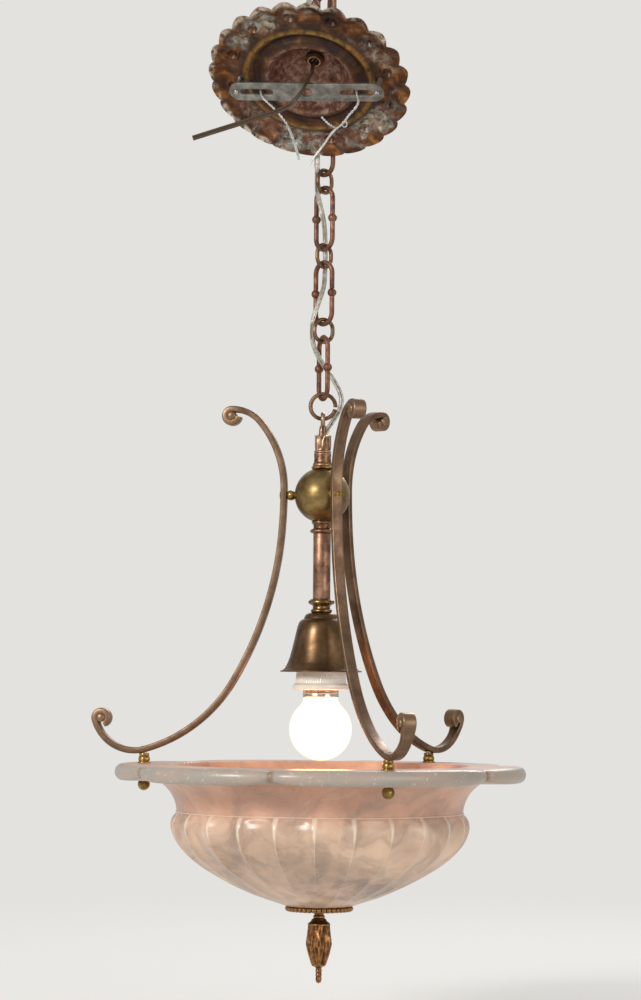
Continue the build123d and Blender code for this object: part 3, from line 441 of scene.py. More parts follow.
def evenFinish(name, code, roughness, metallic=0.0, grain=0.8, dent=0.1, glow=None, coat=0.0, vary="#000000",
               mixIn=0.0):
    # one tone with a little cloud of a second one in it, and a fine grain; a cloud is as wide as eight grains
    material, tree, place = startMaterial(name)
    cloud = addNode(tree, "ShaderNodeTexNoise", lumps(place, grain * 8))
    tone = overlay(tree, code, vary, cloud, (0.35, 0.7), (0.0, mixIn))
    fine = addNode(tree, "ShaderNodeTexNoise", lumps(place, grain, 3.0))
    relief = addNode(tree, "ShaderNodeBump", {"Strength": dent, "Distance": 0.1 * mm, "Height": fine})
    settings = {"Base Color": tone, "Roughness": roughness, "Metallic": metallic, "Coat Weight": coat,
                "Normal": relief}
    if not metallic:
        settings["IOR"] = 1.5  # glaze, glass and PVC are all near it
    if glow:
        settings["Emission Color"], settings["Emission Strength"] = glow
    return endMaterial(material, settings)


def litOpalGlass():
    # the lit opal globe: white where it faces the eye, warmer and dimmer where the glass turns away, and what it
    # throws on the porcelain, the arms and the stone is warmer still
    glass = {"tone": "#D9B98C", "rough": 0.22, "seen": [(0.4, "#FFEACB"), (0.86, "#FFA850")], "power": (5.5, 0.7),
             "thrown": "#FFC592", "thrownPower": 6.0}
    material, tree, _ = startMaterial("opalGlass")
    facing = addNode(tree, "ShaderNodeLayerWeight", {"Blend": 0.35}).outputs["Facing"]
    eye = addNode(tree, "ShaderNodeLightPath").outputs["Is Camera Ray"]
    seen = addNode(tree, "ShaderNodeValToRGB", {0: facing}, glass["seen"])
    tone = addNode(tree, "ShaderNodeMix", {"data_type": "RGBA", 0: eye, 6: glass["thrown"], 7: seen}).outputs[2]
    bright = addNode(tree, "ShaderNodeMapRange", spread(facing, (0.4, 0.9), glass["power"]))
    power = addNode(tree, "ShaderNodeMix", {0: eye, 2: glass["thrownPower"], 3: bright})
    return endMaterial(material, {"Base Color": glass["tone"], "Roughness": glass["rough"], "Emission Color": tone,
                                  "Emission Strength": power})


# patinatedMetal takes three tones from dark to light, the roughness of bare and of oxidised metal, and the sizes
# of its clouds and pits; the comment over each finish is what it gives the eye
finishes = {
    # copper plate gone brown and matt in the air, with smoky stains
    "longLink": patinatedMetal("oxidisedCopperPlate", ("#4B2D21", "#714735", "#956A52"), (0.42, 0.58), 6.0, 0.6,
                               metallic=0.6, stain=("#5E4636", 9, 0.4)),
    # the same plate on the links that rub: paler, and a little smoother
    "smallLink": patinatedMetal("rubbedCopperPlate", ("#4E3A2A", "#755A42", "#9A7A5A"), (0.32, 0.5), 5.0, 0.6),
    # dark brown bronze with dusty clouds, lighter along its edges: rubbed by wear, and a painted highlight
    "armBronze": patinatedMetal("brownBronze", ("#3F2E25", "#5D4537", "#80634F"), (0.34, 0.5), 14.0, 0.8,
                                stain=("#7C6252", 22, 0.45), wearAndHighlight="#A88A68"),
    # drawn copper tube: pinkish, with broad soft clouds
    "tubeCopper": patinatedMetal("pinkCopperTube", ("#674839", "#906C55", "#B58F77"), (0.36, 0.5), 9.0, 0.6),
    # cast copper with pitted hollows, and rosy crowns from wear and a painted highlight
    "castCopper": patinatedMetal("castCopper", ("#49301F", "#74523B", "#A5805F"), (0.28, 0.46), 3.0, 0.5, 0.4,
                                 wearAndHighlight="#D8B494"),
    # spun brass left satin: olive gold with faint turning lines
    "ballBrass": patinatedMetal("satinBrass", ("#574324", "#7E663D", "#9F8657"), (0.3, 0.42), 16.0, 0.6, 0.12,
                                spun=0.6),
    # spun bronze: deeper brown, with the same lines and a softer shine
    "bellBronze": patinatedMetal("spunBronze", ("#463320", "#634930", "#7D6346"), (0.28, 0.4), 18.0, 0.6, 0.15,
                                 spun=0.5),
    # small turned brass: yellow and bright where the tool has cut it
    "turnedBrass": patinatedMetal("turnedBrass", ("#5C4422", "#90743E", "#C2A264"), (0.22, 0.38), 5.0, 0.5, 0.12),
    # gilt casting: warm gold crowns, from wear and a painted highlight, over brown hollows
    "castGilt": patinatedMetal("castGiltBrass", ("#452816", "#714929", "#AC7B4A"), (0.24, 0.42), 4.0, 0.5, 0.3,
                               wearAndHighlight="#D6A868"),
    # the same gilt, nearly black, for the rosette under the bowl
    "darkGilt": patinatedMetal("darkCastBrass", ("#27130A", "#4A2A17", "#744C2A"), (0.26, 0.44), 4.0, 0.5, 0.3,
                               wearAndHighlight="#B08450"),
    # turned brass that has browned since
    "agedBrass": patinatedMetal("agedTurnedBrass", ("#4A3820", "#715734", "#A58656"), (0.24, 0.4), 5.0, 0.5, 0.12),
    "stampedBrass": stampedBrass(),
    # zinc from the dip: flat grey with a faint spangle
    "galvanised": patinatedMetal("galvanisedSteel", ("#65655F", "#7E7D76", "#9A9890"), (0.38, 0.5), 7.0, 0.9, 0.12,
                                 0.7),
    # plated screws: light, clean and fairly bright
    "screwSteel": patinatedMetal("zincPlatedSteel", ("#8A8882", "#A8A59D", "#C4C1B8"), (0.26, 0.4), 4.0, 0.5, 0.1,
                                 0.95),
    # tinned strands: silvery with grey between them
    "tinned": evenFinish("tinnedCopperWire", "#D2D2CF", 0.4, 0.6, 0.4, 0.4, vary="#7E7E7C", mixIn=0.7),
    # rolled thread in nickel: a clear shine with yellowish haze
    "nickel": evenFinish("nickelPlatedShell", "#CFC9C0", 0.2, 1.0, 0.6, 0.05, vary="#8D8578", mixIn=0.4),
    "alabaster": alabasterStone(),
    # glazed porcelain: creamy white under a smooth wet coat
    "porcelain": evenFinish("glazedPorcelain", "#EFE6D8", 0.16, coat=0.4, vary="#D8C8AE", mixIn=0.4, dent=0.04),
    "opalGlass": litOpalGlass(),
    # the lamp's inner stem: pale and glossy, hidden by the globe
    "stemGlass": evenFinish("lampStemGlass", "#E8ECEA", 0.08, dent=0.01),
    # glowing wire
    "tungsten": evenFinish("tungstenWire", "#FFE9C8", 0.4, 0.9, glow=("#FFC878", 4.0)),
    # clear PVC over bright strands: silver that shimmers under a glossy skin
    "silverCord": evenFinish("clearSilverCord", "#C8C3B6", 0.24, 0.45, 0.35, 0.5, coat=0.5, vary="#6A6458",
                             mixIn=0.8),
    # brown moulded PVC: dark and half glossy
    "brownCord": evenFinish("brownCordPvc", "#3E2E1F", 0.34, 0.0, 0.7, 0.2, vary="#5C4631", mixIn=0.6),
    # grey moulded PVC: even and dull
    "leadPvc": evenFinish("greyLeadPvc", "#8C8A84", 0.45, vary="#6E6C66", mixIn=0.4),
}
print("finishes ready:", len(finishes))


# cords

def runAlong(line):
    # how far each point lies along the line
    return np.concatenate([[0], np.cumsum(np.linalg.norm(np.diff(line, axis=0), axis=1))])


def respaced(line, count):
    run = runAlong(line)
    at = np.linspace(0, run[-1], count)
    return np.stack([np.interp(at, run, column) for column in line.T], axis=1)


def routeLine(points, step):
    # the route's own smooth line, read from its NURBS spline, with a point at each step
    data = bpy.data.curves.new("route", "CURVE")
    data.dimensions, data.resolution_u = "3D", 12
    spline = data.splines.new("NURBS")
    spline.points.add(len(points) - 1)
    for spot, place in zip(spline.points, points):
        spot.co = (place[0] * mm, place[1] * mm, place[2] * mm, 1)
    spline.order_u = 3
    spline.use_endpoint_u = True
    line = np.array([v.co for v in builtMesh(newObject("route", data)).vertices]) / mm
    return respaced(line, max(int(runAlong(line)[-1] / step), 2))


def metres(place):
    return [c * mm for c in place]


def flatFrames(line, wide):
    # the way the cord's width lies at each point: near "wide", always square to the line
    smoothings = 12
    ahead = np.gradient(line, axis=0)
    ahead /= np.linalg.norm(ahead, axis=1)[:, None]
    wide = np.broadcast_to(np.asarray(wide, float), line.shape)
    across = wide - ahead * (wide * ahead).sum(axis=1)[:, None]
    across /= np.linalg.norm(across, axis=1)[:, None]
    for _ in range(smoothings):
        across[1:-1] = (across[:-2] + 2 * across[1:-1] + across[2:]) / 4
        across -= ahead * (across * ahead).sum(axis=1)[:, None]
        across /= np.linalg.norm(across, axis=1)[:, None]
    return across, np.cross(ahead, across)


def tubeAlong(name, line, frames, section, first=0, last=None):
    # carries a closed section, (across, through), along part of the line
    last = len(line) - 1 if last is None else last
    across, through = frames
    spots = [line[i] + across[i] * a + through[i] * b for i in range(first, last + 1) for a, b in section]
    faces = gridFaces(last - first + 1, len(section), closeColumns=True, capEnds=True)
    return tidy(meshObject(name, spots, faces), 0.002, 50)


def twinSection(width, thick):
    # two round cores side by side, with a shallow valley between them; angles are in half turns
    steps, sweep, valley = 9, 0.84, 0.32
    radius, shift, section = thick / 2, width / 2 - thick / 2, []
    for side, start in ((1, -0.42), (-1, 0.58)):
        for k in range(steps):
            angle = math.pi * (start + sweep * k / (steps - 1))
            section.append((side * shift + radius * math.cos(angle), radius * math.sin(angle)))
        section.append((0, side * radius * valley))
    return section


chainCord = {"width": 3.5, "thick": 1.9, "step": 1.1, "wideTo": (1.0, -0.25, 0.0), "route": [
    (1.0, 3.2, -350.4), (1.0, 3.2, -341.0), (7.5, 4.4, -331.0), (13.0, 3.2, -322.0), (13.6, 2.8, -313.0),
    (8.5, 1.8, -303.0), (0.0, 0.5, -291.07), (-8.2, 1.0, -276.9), (-8.4, 0.6, -258.37), (-2.9, -0.6, -243.11),
    (0.2, 2.6, -233.3), (0.8, 7.2, -220.22), (0.8, 7.4, -202.78), (0.2, 2.8, -189.7), (-2.0, -1.5, -178.8),
    (-5.8, -1.0, -164.63), (-5.5, -0.7, -149.91), (-5.2, -1.8, -136.29), (-6.5, -1.5, -122.12),
    (-7.2, -0.6, -99.77), (-9.0, 0.8, -75.25), (-8.0, -0.2, -54.54), (-11.5, 3.5, -36.01), (-12.5, 4.5, -21.1),
    (-12.5, -5.4, -12.7), (-12.2, -18.2, -14.8), (-12.8, -30.0, -33.5), (-12.18, -40.62, -53.13),
    (-6.71, -44.71, -70.86), (-8.24, -50.32, -78.37)],
    # the cord is cut at the middle of each body that it passes
    "downChain": [("fixture", -350.4), ("ring", -321.2), ("long_5", -293.25), ("small_5", -266.0),
                  ("long_4", -238.75), ("small_4", -211.5), ("long_3", -184.25), ("small_3", -157.0),
                  ("long_2", -129.75), ("small_2", -102.5), ("long_1", -75.25), ("small_1", -48.0),
                  ("hook_link", -27.0)],
    "overFold": [("canopy_small_1", (-12.5, -3.0, -15.0)), ("canopy_long", (-12.5, -27.0, -28.0)),
                 ("canopy_small_2", (-12.2, -40.0, -52.0)), ("canopy", (-8.5, -43.5, -66.0))]}


def makeChainCord():
    p = chainCord
    line = routeLine(p["route"], p["step"])
    frames = flatFrames(line, p["wideTo"])
    section = twinSection(p["width"], p["thick"])
    top = int(np.argmax(line[:, 2]))
    cuts = [int(np.argmin(np.abs(line[:top, 2] - level))) for _, level in p["downChain"]]
    cuts[0] = 0
    for _, spot in p["overFold"]:
        cuts.append(cuts[-1] + int(np.argmin(np.linalg.norm(line[cuts[-1]:] - np.array(spot), axis=1))))
    cuts.append(len(line) - 1)
    bodies = [body for body, _ in p["downChain"] + p["overFold"]] + ["canopy"]
    for k in range(len(cuts) - 1):
        piece = tubeAlong(f"chainCord_{k}", line, frames, section, cuts[k], cuts[k + 1])
        paint(piece, "silverCord")
        if bodies[k] == bodies[k + 1]:
            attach(piece, bodies[k])
        elif k < len(p["downChain"]) - 1:  # a piece down the chain, between points on the axis
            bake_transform(piece)
        else:
            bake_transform(piece)
        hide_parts("chain_cord")
    print("chain cord:", len(cuts) - 1, "pieces,", round(runAlong(line)[-1]), "mm")


canopyLead = {"width": 3.7, "thick": 2.2, "step": 1.2, "wideTo": (0.5, -0.2, 0.84), "route": [
    (-8.28, -50.5, -78.61), (-9.76, -55.93, -85.88), (-9.78, -67.0, -91.01), (-12.47, -78.28, -97.09),
    (-15.78, -85.67, -105.32), (-20.71, -88.33, -113.21), (-26.94, -89.03, -118.5), (-34.6, -89.01, -122.15),
    (-44.3, -88.09, -124.92), (-59.54, -86.92, -130.04), (-75.64, -84.7, -134.76), (-92.89, -82.98, -140.14)]}


def makeCanopyLead():
    p = canopyLead
    line = routeLine(p["route"], p["step"])
    lead = tubeAlong("canopyLead", line, flatFrames(line, p["wideTo"]), twinSection(p["width"], p["thick"]))
    finish(lead, "brownCord", "canopy", "canopy_lead")


# "pressed" is a little under half a strand, so that the two touch
tieWires = {"strand": 0.95, "lay": 5.5, "pressed": 0.47, "step": 0.35, "wideTo": (0.7, 0.1, 0.7), "routes": {
    "left": [(-46.4, -57.16, -99.04), (-45.73, -62.31, -105.45), (-42.02, -67.85, -110.66),
             (-35.57, -71.87, -117.05), (-30.56, -72.64, -123.06), (-26.24, -71.0, -128.95),
             (-22.48, -67.99, -138.15), (-19.93, -65.8, -145.24), (-18.5, -65.0, -152.07)],
    "right": [(21.57, -71.9, -101.79), (22.24, -77.05, -108.2), (23.8, -83.13, -112.96), (21.52, -86.01, -118.31),
              (16.35, -83.95, -122.97), (12.81, -80.42, -128.31), (7.67, -76.61, -131.38), (3.17, -73.86, -135.81),
              (-1.3, -71.0, -142.72), (-7.88, -68.73, -150.55), (-11.45, -67.14, -156.07)]},
    "twistedTo": {"left": 0.62, "right": 0.6},
    "spur": {"thinner": 0.9, "tighter": 0.8,
             "route": [(7.9, -76.7, -131.3), (4.6, -77.6, -130.2), (1.2, -78.2, -127.6), (-2.6, -78.0, -123.6)]},
    "knot": {"place": (13.6, -81.4, -127.2), "radius": 1.7, "cross": 0.3, "tall": 1.25, "drop": 1.1,
             "thinner": 0.85, "start": 0.2, "points": 40}}


def twistedStrands(name, line, strand, lay, twistedTo):
    # two strands laid round each other, which run on side by side where the twist ends
    across, through = flatFrames(line, tieWires["wideTo"])
    run = runAlong(line)
    turn = 2 * math.pi * np.minimum(run, run[-1] * twistedTo) / lay
    offset = strand * tieWires["pressed"]
    strands = []
    for side in (0, math.pi):
        spots = [line[i] + (across[i] * math.cos(turn[i] + side) + through[i] * math.sin(turn[i] + side)) * offset
                 for i in range(len(line))]
        strands.append(wireAlong(name, spots, strand, "tinned", 10))
    return strands


def makeTieWires():
    p = tieWires
    for side, route in p["routes"].items():
        line = routeLine(route, p["step"])
        beside = []
        parts = twistedStrands(f"tieWire_{side}", line, p["strand"], p["lay"], p["twistedTo"][side])
        if side == "right":
            spur, knot = p["spur"], p["knot"]
            extra = twistedStrands("tieWire_spur", routeLine(spur["route"], p["step"]),
                                   p["strand"] * spur["thinner"], p["lay"] * spur["tighter"], 1.0)
            turns = np.linspace(knot["start"], 2 * math.pi + knot["start"], knot["points"], endpoint=False)
            shape = [(math.sin(t), knot["cross"] * math.sin(2 * t), knot["tall"] * math.cos(t) - knot["drop"])
                     for t in turns]
            loop = np.array(knot["place"]) + knot["radius"] * np.array(shape)
            extra.append(wireAlong("tieWire_knot", loop, p["strand"] * knot["thinner"], "tinned", 10, True))
            beside = [finish(join("tieWireSpur", extra), "tinned", "canopy")]
        wire = finish(join(f"tieWire_{side}", parts), "tinned", "canopy", f"tie_wire_{side}")


makeCamera()
makeChainCord()
makeCanopyLead()
makeTieWires()
print("camera, cord, lead and wires placed")


# chain

chainPlan = {"pairs": 5, "pitch": 54.5, "longTop": -20.75, "smallTop": -48.0, "longTurn": -45.0, "smallTurn": 45.0,
             "lastLongTurn": -68.0, "lastSmallTurn": 22.0,
             "long": {"height": 48.5, "width": 20.0, "wire": 3.5, "knop": 6.5, "finish": "longLink"},
             "small": {"height": 19.4, "width": 17.0, "wire": 2.9, "knop": 0.0, "finish": "smallLink"},
             "ring": {"centre": -321.2, "dia": 21.0, "wire": 3.0, "slit": 1.6, "slitAt": -8.0}}


def makeLink(name, kind, place, body, node):
    # a stadium of round wire in the XZ plane, with a ball on the middle of each long side
    size, knopSpan = chainPlan[kind], 4
    bow = (size["width"] - size["wire"]) / 2
    half = (size["height"] - size["wire"]) / 2 - bow
    side = np.linspace(half, -half, 6, endpoint=False)
    if size["knop"]:  # with points close together along the ball
        side = np.concatenate([np.linspace(half, knopSpan, 8, endpoint=False),
                               np.linspace(knopSpan, -knopSpan, 40, endpoint=False),
                               np.linspace(-knopSpan, -half, 8, endpoint=False)])
    line = [(bow, z) for z in side] + arc((0, -half), bow, 0, -180, 26)[:-1]
    line += [(-bow, -z) for z in side] + arc((0, half), bow, 180, 0, 26)[:-1]
    swell = []
    for x, z in line:
        across = math.sqrt(max((size["knop"] / 2)**2 - z**2, 0)) if abs(abs(x) - bow) < 1e-6 else 0
        swell.append(max(1.0, across / (size["wire"] / 2)))
    made = wireAlong(name, [(x, 0, z) for x, z in line], size["wire"], size["finish"], 22, True, swell)
    made.data.transform(place)
    finish(tidy(made, 0.004), size["finish"], body, node)


def makeChain():
    p = chainPlan
    links = [("topLink", "long", p["longTop"], p["longTurn"], "hook_link", "top_link")]
    for i in range(1, p["pairs"] + 1):
        turns = ("lastSmallTurn", "lastLongTurn") if i == p["pairs"] else ("smallTurn", "longTurn")
        links.append((f"smallLink_{i}", "small", p["smallTop"] - p["pitch"] * (i - 1), p[turns[0]], f"small_{i}",
                      f"small_link_{i}"))
        links.append((f"longLink_{i}", "long", p["longTop"] - p["pitch"] * i, p[turns[1]], f"long_{i}",
                      f"long_link_{i}"))
    for name, kind, z, turn, body, node in links:
        place = Matrix.Translation((0, 0, z * mm)) @ Matrix.Rotation(math.radians(turn), 4, "Z")
        makeLink(name, kind, place, body, node)
    ring = p["ring"]
    radius = (ring["dia"] - ring["wire"]) / 2
    half = math.degrees(ring["slit"] / 2 / radius)
    line = arc((0, 0), radius, ring["slitAt"] + half, ring["slitAt"] + 360 - half, 90)
    made = wireAlong("openRing", [(x, 0, z + ring["centre"]) for x, z in line], ring["wire"], "smallLink", 24)
    finish(made, "smallLink", "ring", "stem_ring")


# the canopy's own frame, and the line of the chain's folded end

canopyPlan = {"mouth": (-12.0, -64.2, -96.95), "axis": (0.16, 0.59, 0.79), "barTurn": -8.4, "radius": 72.5,
              "depth": 29.0, "wall": 2.2, "sectors": 12, "scallops": 24, "scallopBite": 3.25, "bossAt": 57.5,
              "bossTurn": 15.0,
              "boss": {"height": 2.0, "radius": 3.0, "groove": 1.6, "grooveAt": 4.4, "grooveHalf": 1.2,
                       "dimple": 1.4, "dimpleHalf": 1.3, "fade": (6, 8)},
              "border": 58, "petal": (59, 71), "petalRise": 2.6, "petalDrop": 2.4, "leastUp": 0.02,
              "verdigris": [(-31, -42, 15), (43, 28, 14), (35, 46, 14), (-57, -17, 12), (-8, 60, 12)]}
branchPlan = {"start": (-1.957, 1.957, 1.272), "side": (0.7437, 0.5597, -0.3655),
              "width": (0.6681, -0.6407, 0.3784),
              "links": [("small_1", "small", "side", 4.75, "canopy_small_link_1"),
                        ("long", "long", "width", 32.0, "canopy_long_link"),
                        ("small_2", "small", "side", 59.25, "canopy_small_link_2")]}


def frameMatrix(x, z, origin):
    columns = [list(x) + [0], list(z.cross(x)) + [0], list(z) + [0], metres(origin) + [1]]
    return Matrix(columns).transposed()


def canopyMatrix(turn=0.0):
    z = Vector(canopyPlan["axis"]).normalized()
    x = (Vector((1, 0, 0)) - z * z.x).normalized()
    x = x * math.cos(math.radians(turn)) + z.cross(x) * math.sin(math.radians(turn))
    return frameMatrix(x, z, canopyPlan["mouth"])


def makeBranch():
    p = branchPlan
    start, up = Vector(p["start"]), Vector(p["width"]).cross(Vector(p["side"])).normalized()
    for key, kind, facing, down, node in p["links"]:
        x = Vector(p[facing])
        place = frameMatrix((x - up * x.dot(up)).normalized(), up, start - up * down)
        makeLink(f"foldLink_{key}", kind, place, f"canopy_{key}", node)


makeChain()
makeBranch()
print("chain made")


# stem, ball and bell; outlines are (radius, height over the rim)

stemPlan = {"rod": 5.0, "ballUp": 194.4, "ballRadius": 20.0, "ballWall": 1.0, "seam": (0.12, 0.35),
            "seatRadius": 6.9, "collarRadius": 7.5, "cupBase": 224.8, "tubeTop": 166.7, "tubeLow": 119.3,
            "tubeRadius": 6.3, "tubeBore": 5.4, "bellTop": 109.5}
cupPlan = {"floor": 230.5, "eyeUp": 249.0, "eyeInner": 5.2, "eyeWire": 3.3,
           "leaf": {"count": 5, "start": 12, "below": 4.0, "tip": 238.0, "half": 37, "radius": 5.45, "thick": 0.75,
                    "belly": 0.4, "tipOut": 0.5, "midrib": 0.4, "midribHalf": 0.16, "cupped": 0.5, "rows": 14,
                    "columns": 11},
           "spire": {"from": -1.5, "to": -4.2, "wide": 3.0, "narrowing": 0.9, "belly": 0.35, "thick": 1.9,
                     "thinning": 0.3, "flutes": 6, "fluteDepth": 0.07, "rows": 20, "columns": 28}}


def makeCupLeaf():
    # one leaf with its outer and inner face: broad below, with a midrib and a tip that bends out
    leaf, floor = cupPlan["leaf"], cupPlan["floor"]
    rows, columns, spots = leaf["rows"], leaf["columns"], []
    for skin in (0.0, -leaf["thick"]):
        for i in range(rows):
            t = i / (rows - 1)
            up = floor - leaf["below"] + (leaf["tip"] - floor + leaf["below"]) * t
            half = math.radians(leaf["half"]) * (1 - t**3.2) ** 0.6 + 0.03
            reach = leaf["radius"] + leaf["belly"] * math.sin(math.pi * t) + skin
            reach += leaf["tipOut"] * ease(t, 0.72, 1.0)
            for j in range(columns):
                v = 2 * j / (columns - 1) - 1
                rib = leaf["midrib"] * bump(v, leaf["midribHalf"]) - leaf["cupped"] * v**2
                spots.append(polar(reach + rib, half * v, up))
    size = rows * columns
    faces = gridFaces(rows, columns)
    faces += [tuple(size + i for i in reversed(f)) for f in faces]
    edge = list(range(columns)) + [i * columns + columns - 1 for i in range(1, rows)]
    edge += [(rows - 1) * columns + j for j in range(columns - 2, -1, -1)]
    edge += [i * columns for i in range(rows - 2, 0, -1)]
    faces += [(a, b, size + b, size + a) for a, b in zip(edge, edge[1:] + edge[:1])]
    return tidy(meshObject("cupLeaf", spots, faces), 0.004, 50)


def makeLeafCup():
    p, leaf, spire = cupPlan, cupPlan["leaf"], cupPlan["spire"]
    low, floor, bore = stemPlan["cupBase"], p["floor"], stemPlan["rod"] + 0.1
    base = lathe("leafCup", [(bore, low), (5.6, low), (6.2, low + 0.6), (6.2, low + 1.4), (5.5, low + 2.0),
                             (5.3, floor), (5.4, floor + 1.4), (5.2, floor + 1.2), (bore, floor - 2)], 64, 0.3)
    leaves = ringOf(makeCupLeaf(), leaf["count"], "castCopper", start=leaf["start"])
    eyeLine = arc((0, p["eyeUp"]), (p["eyeInner"] + p["eyeWire"]) / 2, 0, 360, 49)[:-1]
    eye = wireAlong("stemEye", [(0, x, z) for x, z in eyeLine], p["eyeWire"], "castCopper", 20, True)
    bottom, top = floor + spire["from"], p["eyeUp"] + spire["to"]
    spots = []
    for t in np.linspace(0, 1, spire["rows"]):
        wide = spire["wide"] - spire["narrowing"] * t + spire["belly"] * math.sin(math.pi * t)
        thick = spire["thick"] - spire["thinning"] * t
        for a in around(spire["columns"]):
            flute = 1 + spire["fluteDepth"] * math.cos(spire["flutes"] * a)
            spots.append((wide * math.cos(a) * flute, thick * math.sin(a) * flute, bottom + (top - bottom) * t))
    faces = gridFaces(spire["rows"], spire["columns"], closeColumns=True, capEnds=True)
    cup = join("leafCup", [base, leaves, eye, tidy(meshObject("cupSpire", spots, faces))])
    cup.data.transform(upRim())
    finish(cup, "castCopper", "fixture", "hanger")


def turnedPiece(name, outline, key, body, *nodes, soft=0.3, turns=96):
    finish(lathe(name, outline, turns, soft, upRim()), key, body, *nodes)


def makeStem():
    s = stemPlan
    ball, up, rod, bore = s["ballRadius"], s["ballUp"], s["rod"], s["rod"] + 0.1
    cup, top, low, bell = s["cupBase"], s["tubeTop"], s["tubeLow"], s["bellTop"]
    seat = up + math.sqrt(ball**2 - s["seatRadius"]**2)
    under = up - math.sqrt(ball**2 - s["collarRadius"]**2)
    turnedPiece("upperCoupling", [
        (rod, seat + 2.4), (7.1, seat + 2.4), (7.1, seat + 3.6), (6.7, seat + 4.3), (6.2, seat + 5.2),
        (6.05, seat + 8.0), (6.2, cup - 0.9), (6.2, cup), (rod, cup)], "castCopper", "fixture", "upper_coupling")
    turnedPiece("ballSeatRing", [(6.3, seat + 0.15)] + arc((7.0, seat + 1.2), 1.15, -80, 80, 9)
                + [(bore, seat + 2.4), (bore, seat + 0.4)], "turnedBrass", "fixture", "ball_seat_ring", soft=0.1)
    # the ball, with the fine seam between its halves
    hole = math.degrees(math.asin(rod / ball))
    cut, half = s["seam"]
    outer = [(r - cut * bump(z - up, half), z) for r, z in arc((0, up), ball, -90 + hole, 90 - hole, 60)]
    inner = arc((0, up), ball - s["ballWall"], 90 - hole * 1.06, -90 + hole * 1.06, 30)
    turnedPiece("armBall", outer + inner, "ballBrass", "fixture", "arm_ball", soft=0, turns=128)
    turnedPiece("lowerCollar", [(rod, under - 0.2), (7.1, under + 0.1)] + arc((6.7, under - 1.2), 0.95, 70, -70, 8)
                + [(6.35, under - 3.2), (6.2, under - 4.6), (6.4, top + 3.6)]
                + arc((7.3, top + 1.7), 1.35, 75, -75, 9) + [(6.6, top), (rod, top)],
                "castCopper", "fixture", "lower_collar", soft=0.15)
    turnedPiece("stemTube", [(s["tubeBore"], low), (s["tubeRadius"], low), (s["tubeRadius"], top),
                             (s["tubeBore"], top)], "tubeCopper", "fixture", "stem_tube", soft=0.25)
    turnedPiece("bellCoupling", [(bore, bell)] + arc((6.4, bell + 1.3), 1.35, -80, 80, 9)
                + [(6.3, bell + 3.1), (6.2, bell + 4.4), (6.9, bell + 5.4)]
                + arc((8.0, bell + 7.6), 1.5, -60, 75, 11) + [(7.6, low), (bore, low)],
                "agedBrass", "fixture", "bell_coupling", soft=0.12)


bellPlan = {"wall": 1.0, "inset": 0.7, "hole": 5.1, "holeTop": 109.5, "holeLow": 108.3, "lipRadius": 28.85,
            "lipUp": 67.25, "lipWire": 1.1, "inner": (26.9, 67.6),
            "outline": [(7.4, 109.5), (9.4, 109.0), (11.2, 108.0), (12.2, 106.4), (12.6, 105.0), (13.6, 104.5),
                        (14.8, 103.9), (16.2, 102.2), (17.2, 99.4), (18.0, 96.0), (19.4, 90.0), (20.9, 83.6),
                        (22.4, 78.0), (24.0, 73.4), (26.0, 69.6), (28.2, 67.6), (29.0, 67.1), (29.2, 66.9),
                        (28.9, 66.7), (28.1, 66.75)]}


def makeBell():
    p = bellPlan
    inner = [p["inner"]] + [(r - p["wall"], h - p["inset"]) for r, h in p["outline"][14:0:-1]]
    turnedPiece("socketBell", [(p["hole"], p["holeTop"])] + p["outline"] + inner + [(p["hole"], p["holeLow"])],
                "bellBronze", "fixture", "socket_bell", soft=0.1, turns=128)
    wire = wireAlong("bellLip", [polar(p["lipRadius"], a, p["lipUp"]) for a in around(96)], p["lipWire"],
                     "bellBronze", 10, True)
    wire.data.transform(upRim())
    finish(wire, "bellBronze", "fixture")


makeLeafCup()
makeStem()
makeBell()
print("stem and bell made")


# socket and lamp

socketPlan = {"ribs": 60, "ribDepth": 0.28, "ribLow": 58.6, "ribTop": 66.5, "stepsPerRib": 6, "waist": 18.4,
              "taper": 0.75,
              "foot": [(13.9, 53.7), (18.6, 53.7), (19.9, 54.4), (20.4, 55.6), (20.3, 57.2), (19.2, 58.2)],
              "head": [(17.7, 67.4), (17.2, 72.0), (17.2, 80.6), (16.6, 82.4), (14.8, 84.0), (5.1, 84.0),
                       (5.1, 79.0), (13.9, 79.0)],
              "shell": {"low": 54.7, "top": 78.8, "radius": 13.55, "wave": 0.2, "wall": 0.25, "pitch": 3.6}}
lampPlan = {"capLow": 48.5, "capTop": 70.0, "capRadius": 12.62, "wave": 0.33, "pitch": 3.6, "globeUp": 25.6,
            "globeRadius": 22.5, "globeWall": 0.8, "shoulder": 15.0,
            # heights from the cap's edge
            "neck": [(12.0, 4.0), (12.0, 0.2), (12.5, -2.2), (13.6, -4.4)],
            "capEdge": [(12.25, 0.0), (12.5, 0.0), (12.95, 0.4), (12.95, 3.0), (12.6, 3.5)], "threadFrom": 4.0,
            # heights from the cap's top
            "threadTo": -2.0, "capHead": [(12.2, -1.2), (8.0, 2.4), (5.0, 4.0), (4.7, 5.0), (0.0, 5.0), (0.0, -3.0),
                                          (12.0, -3.0)]}


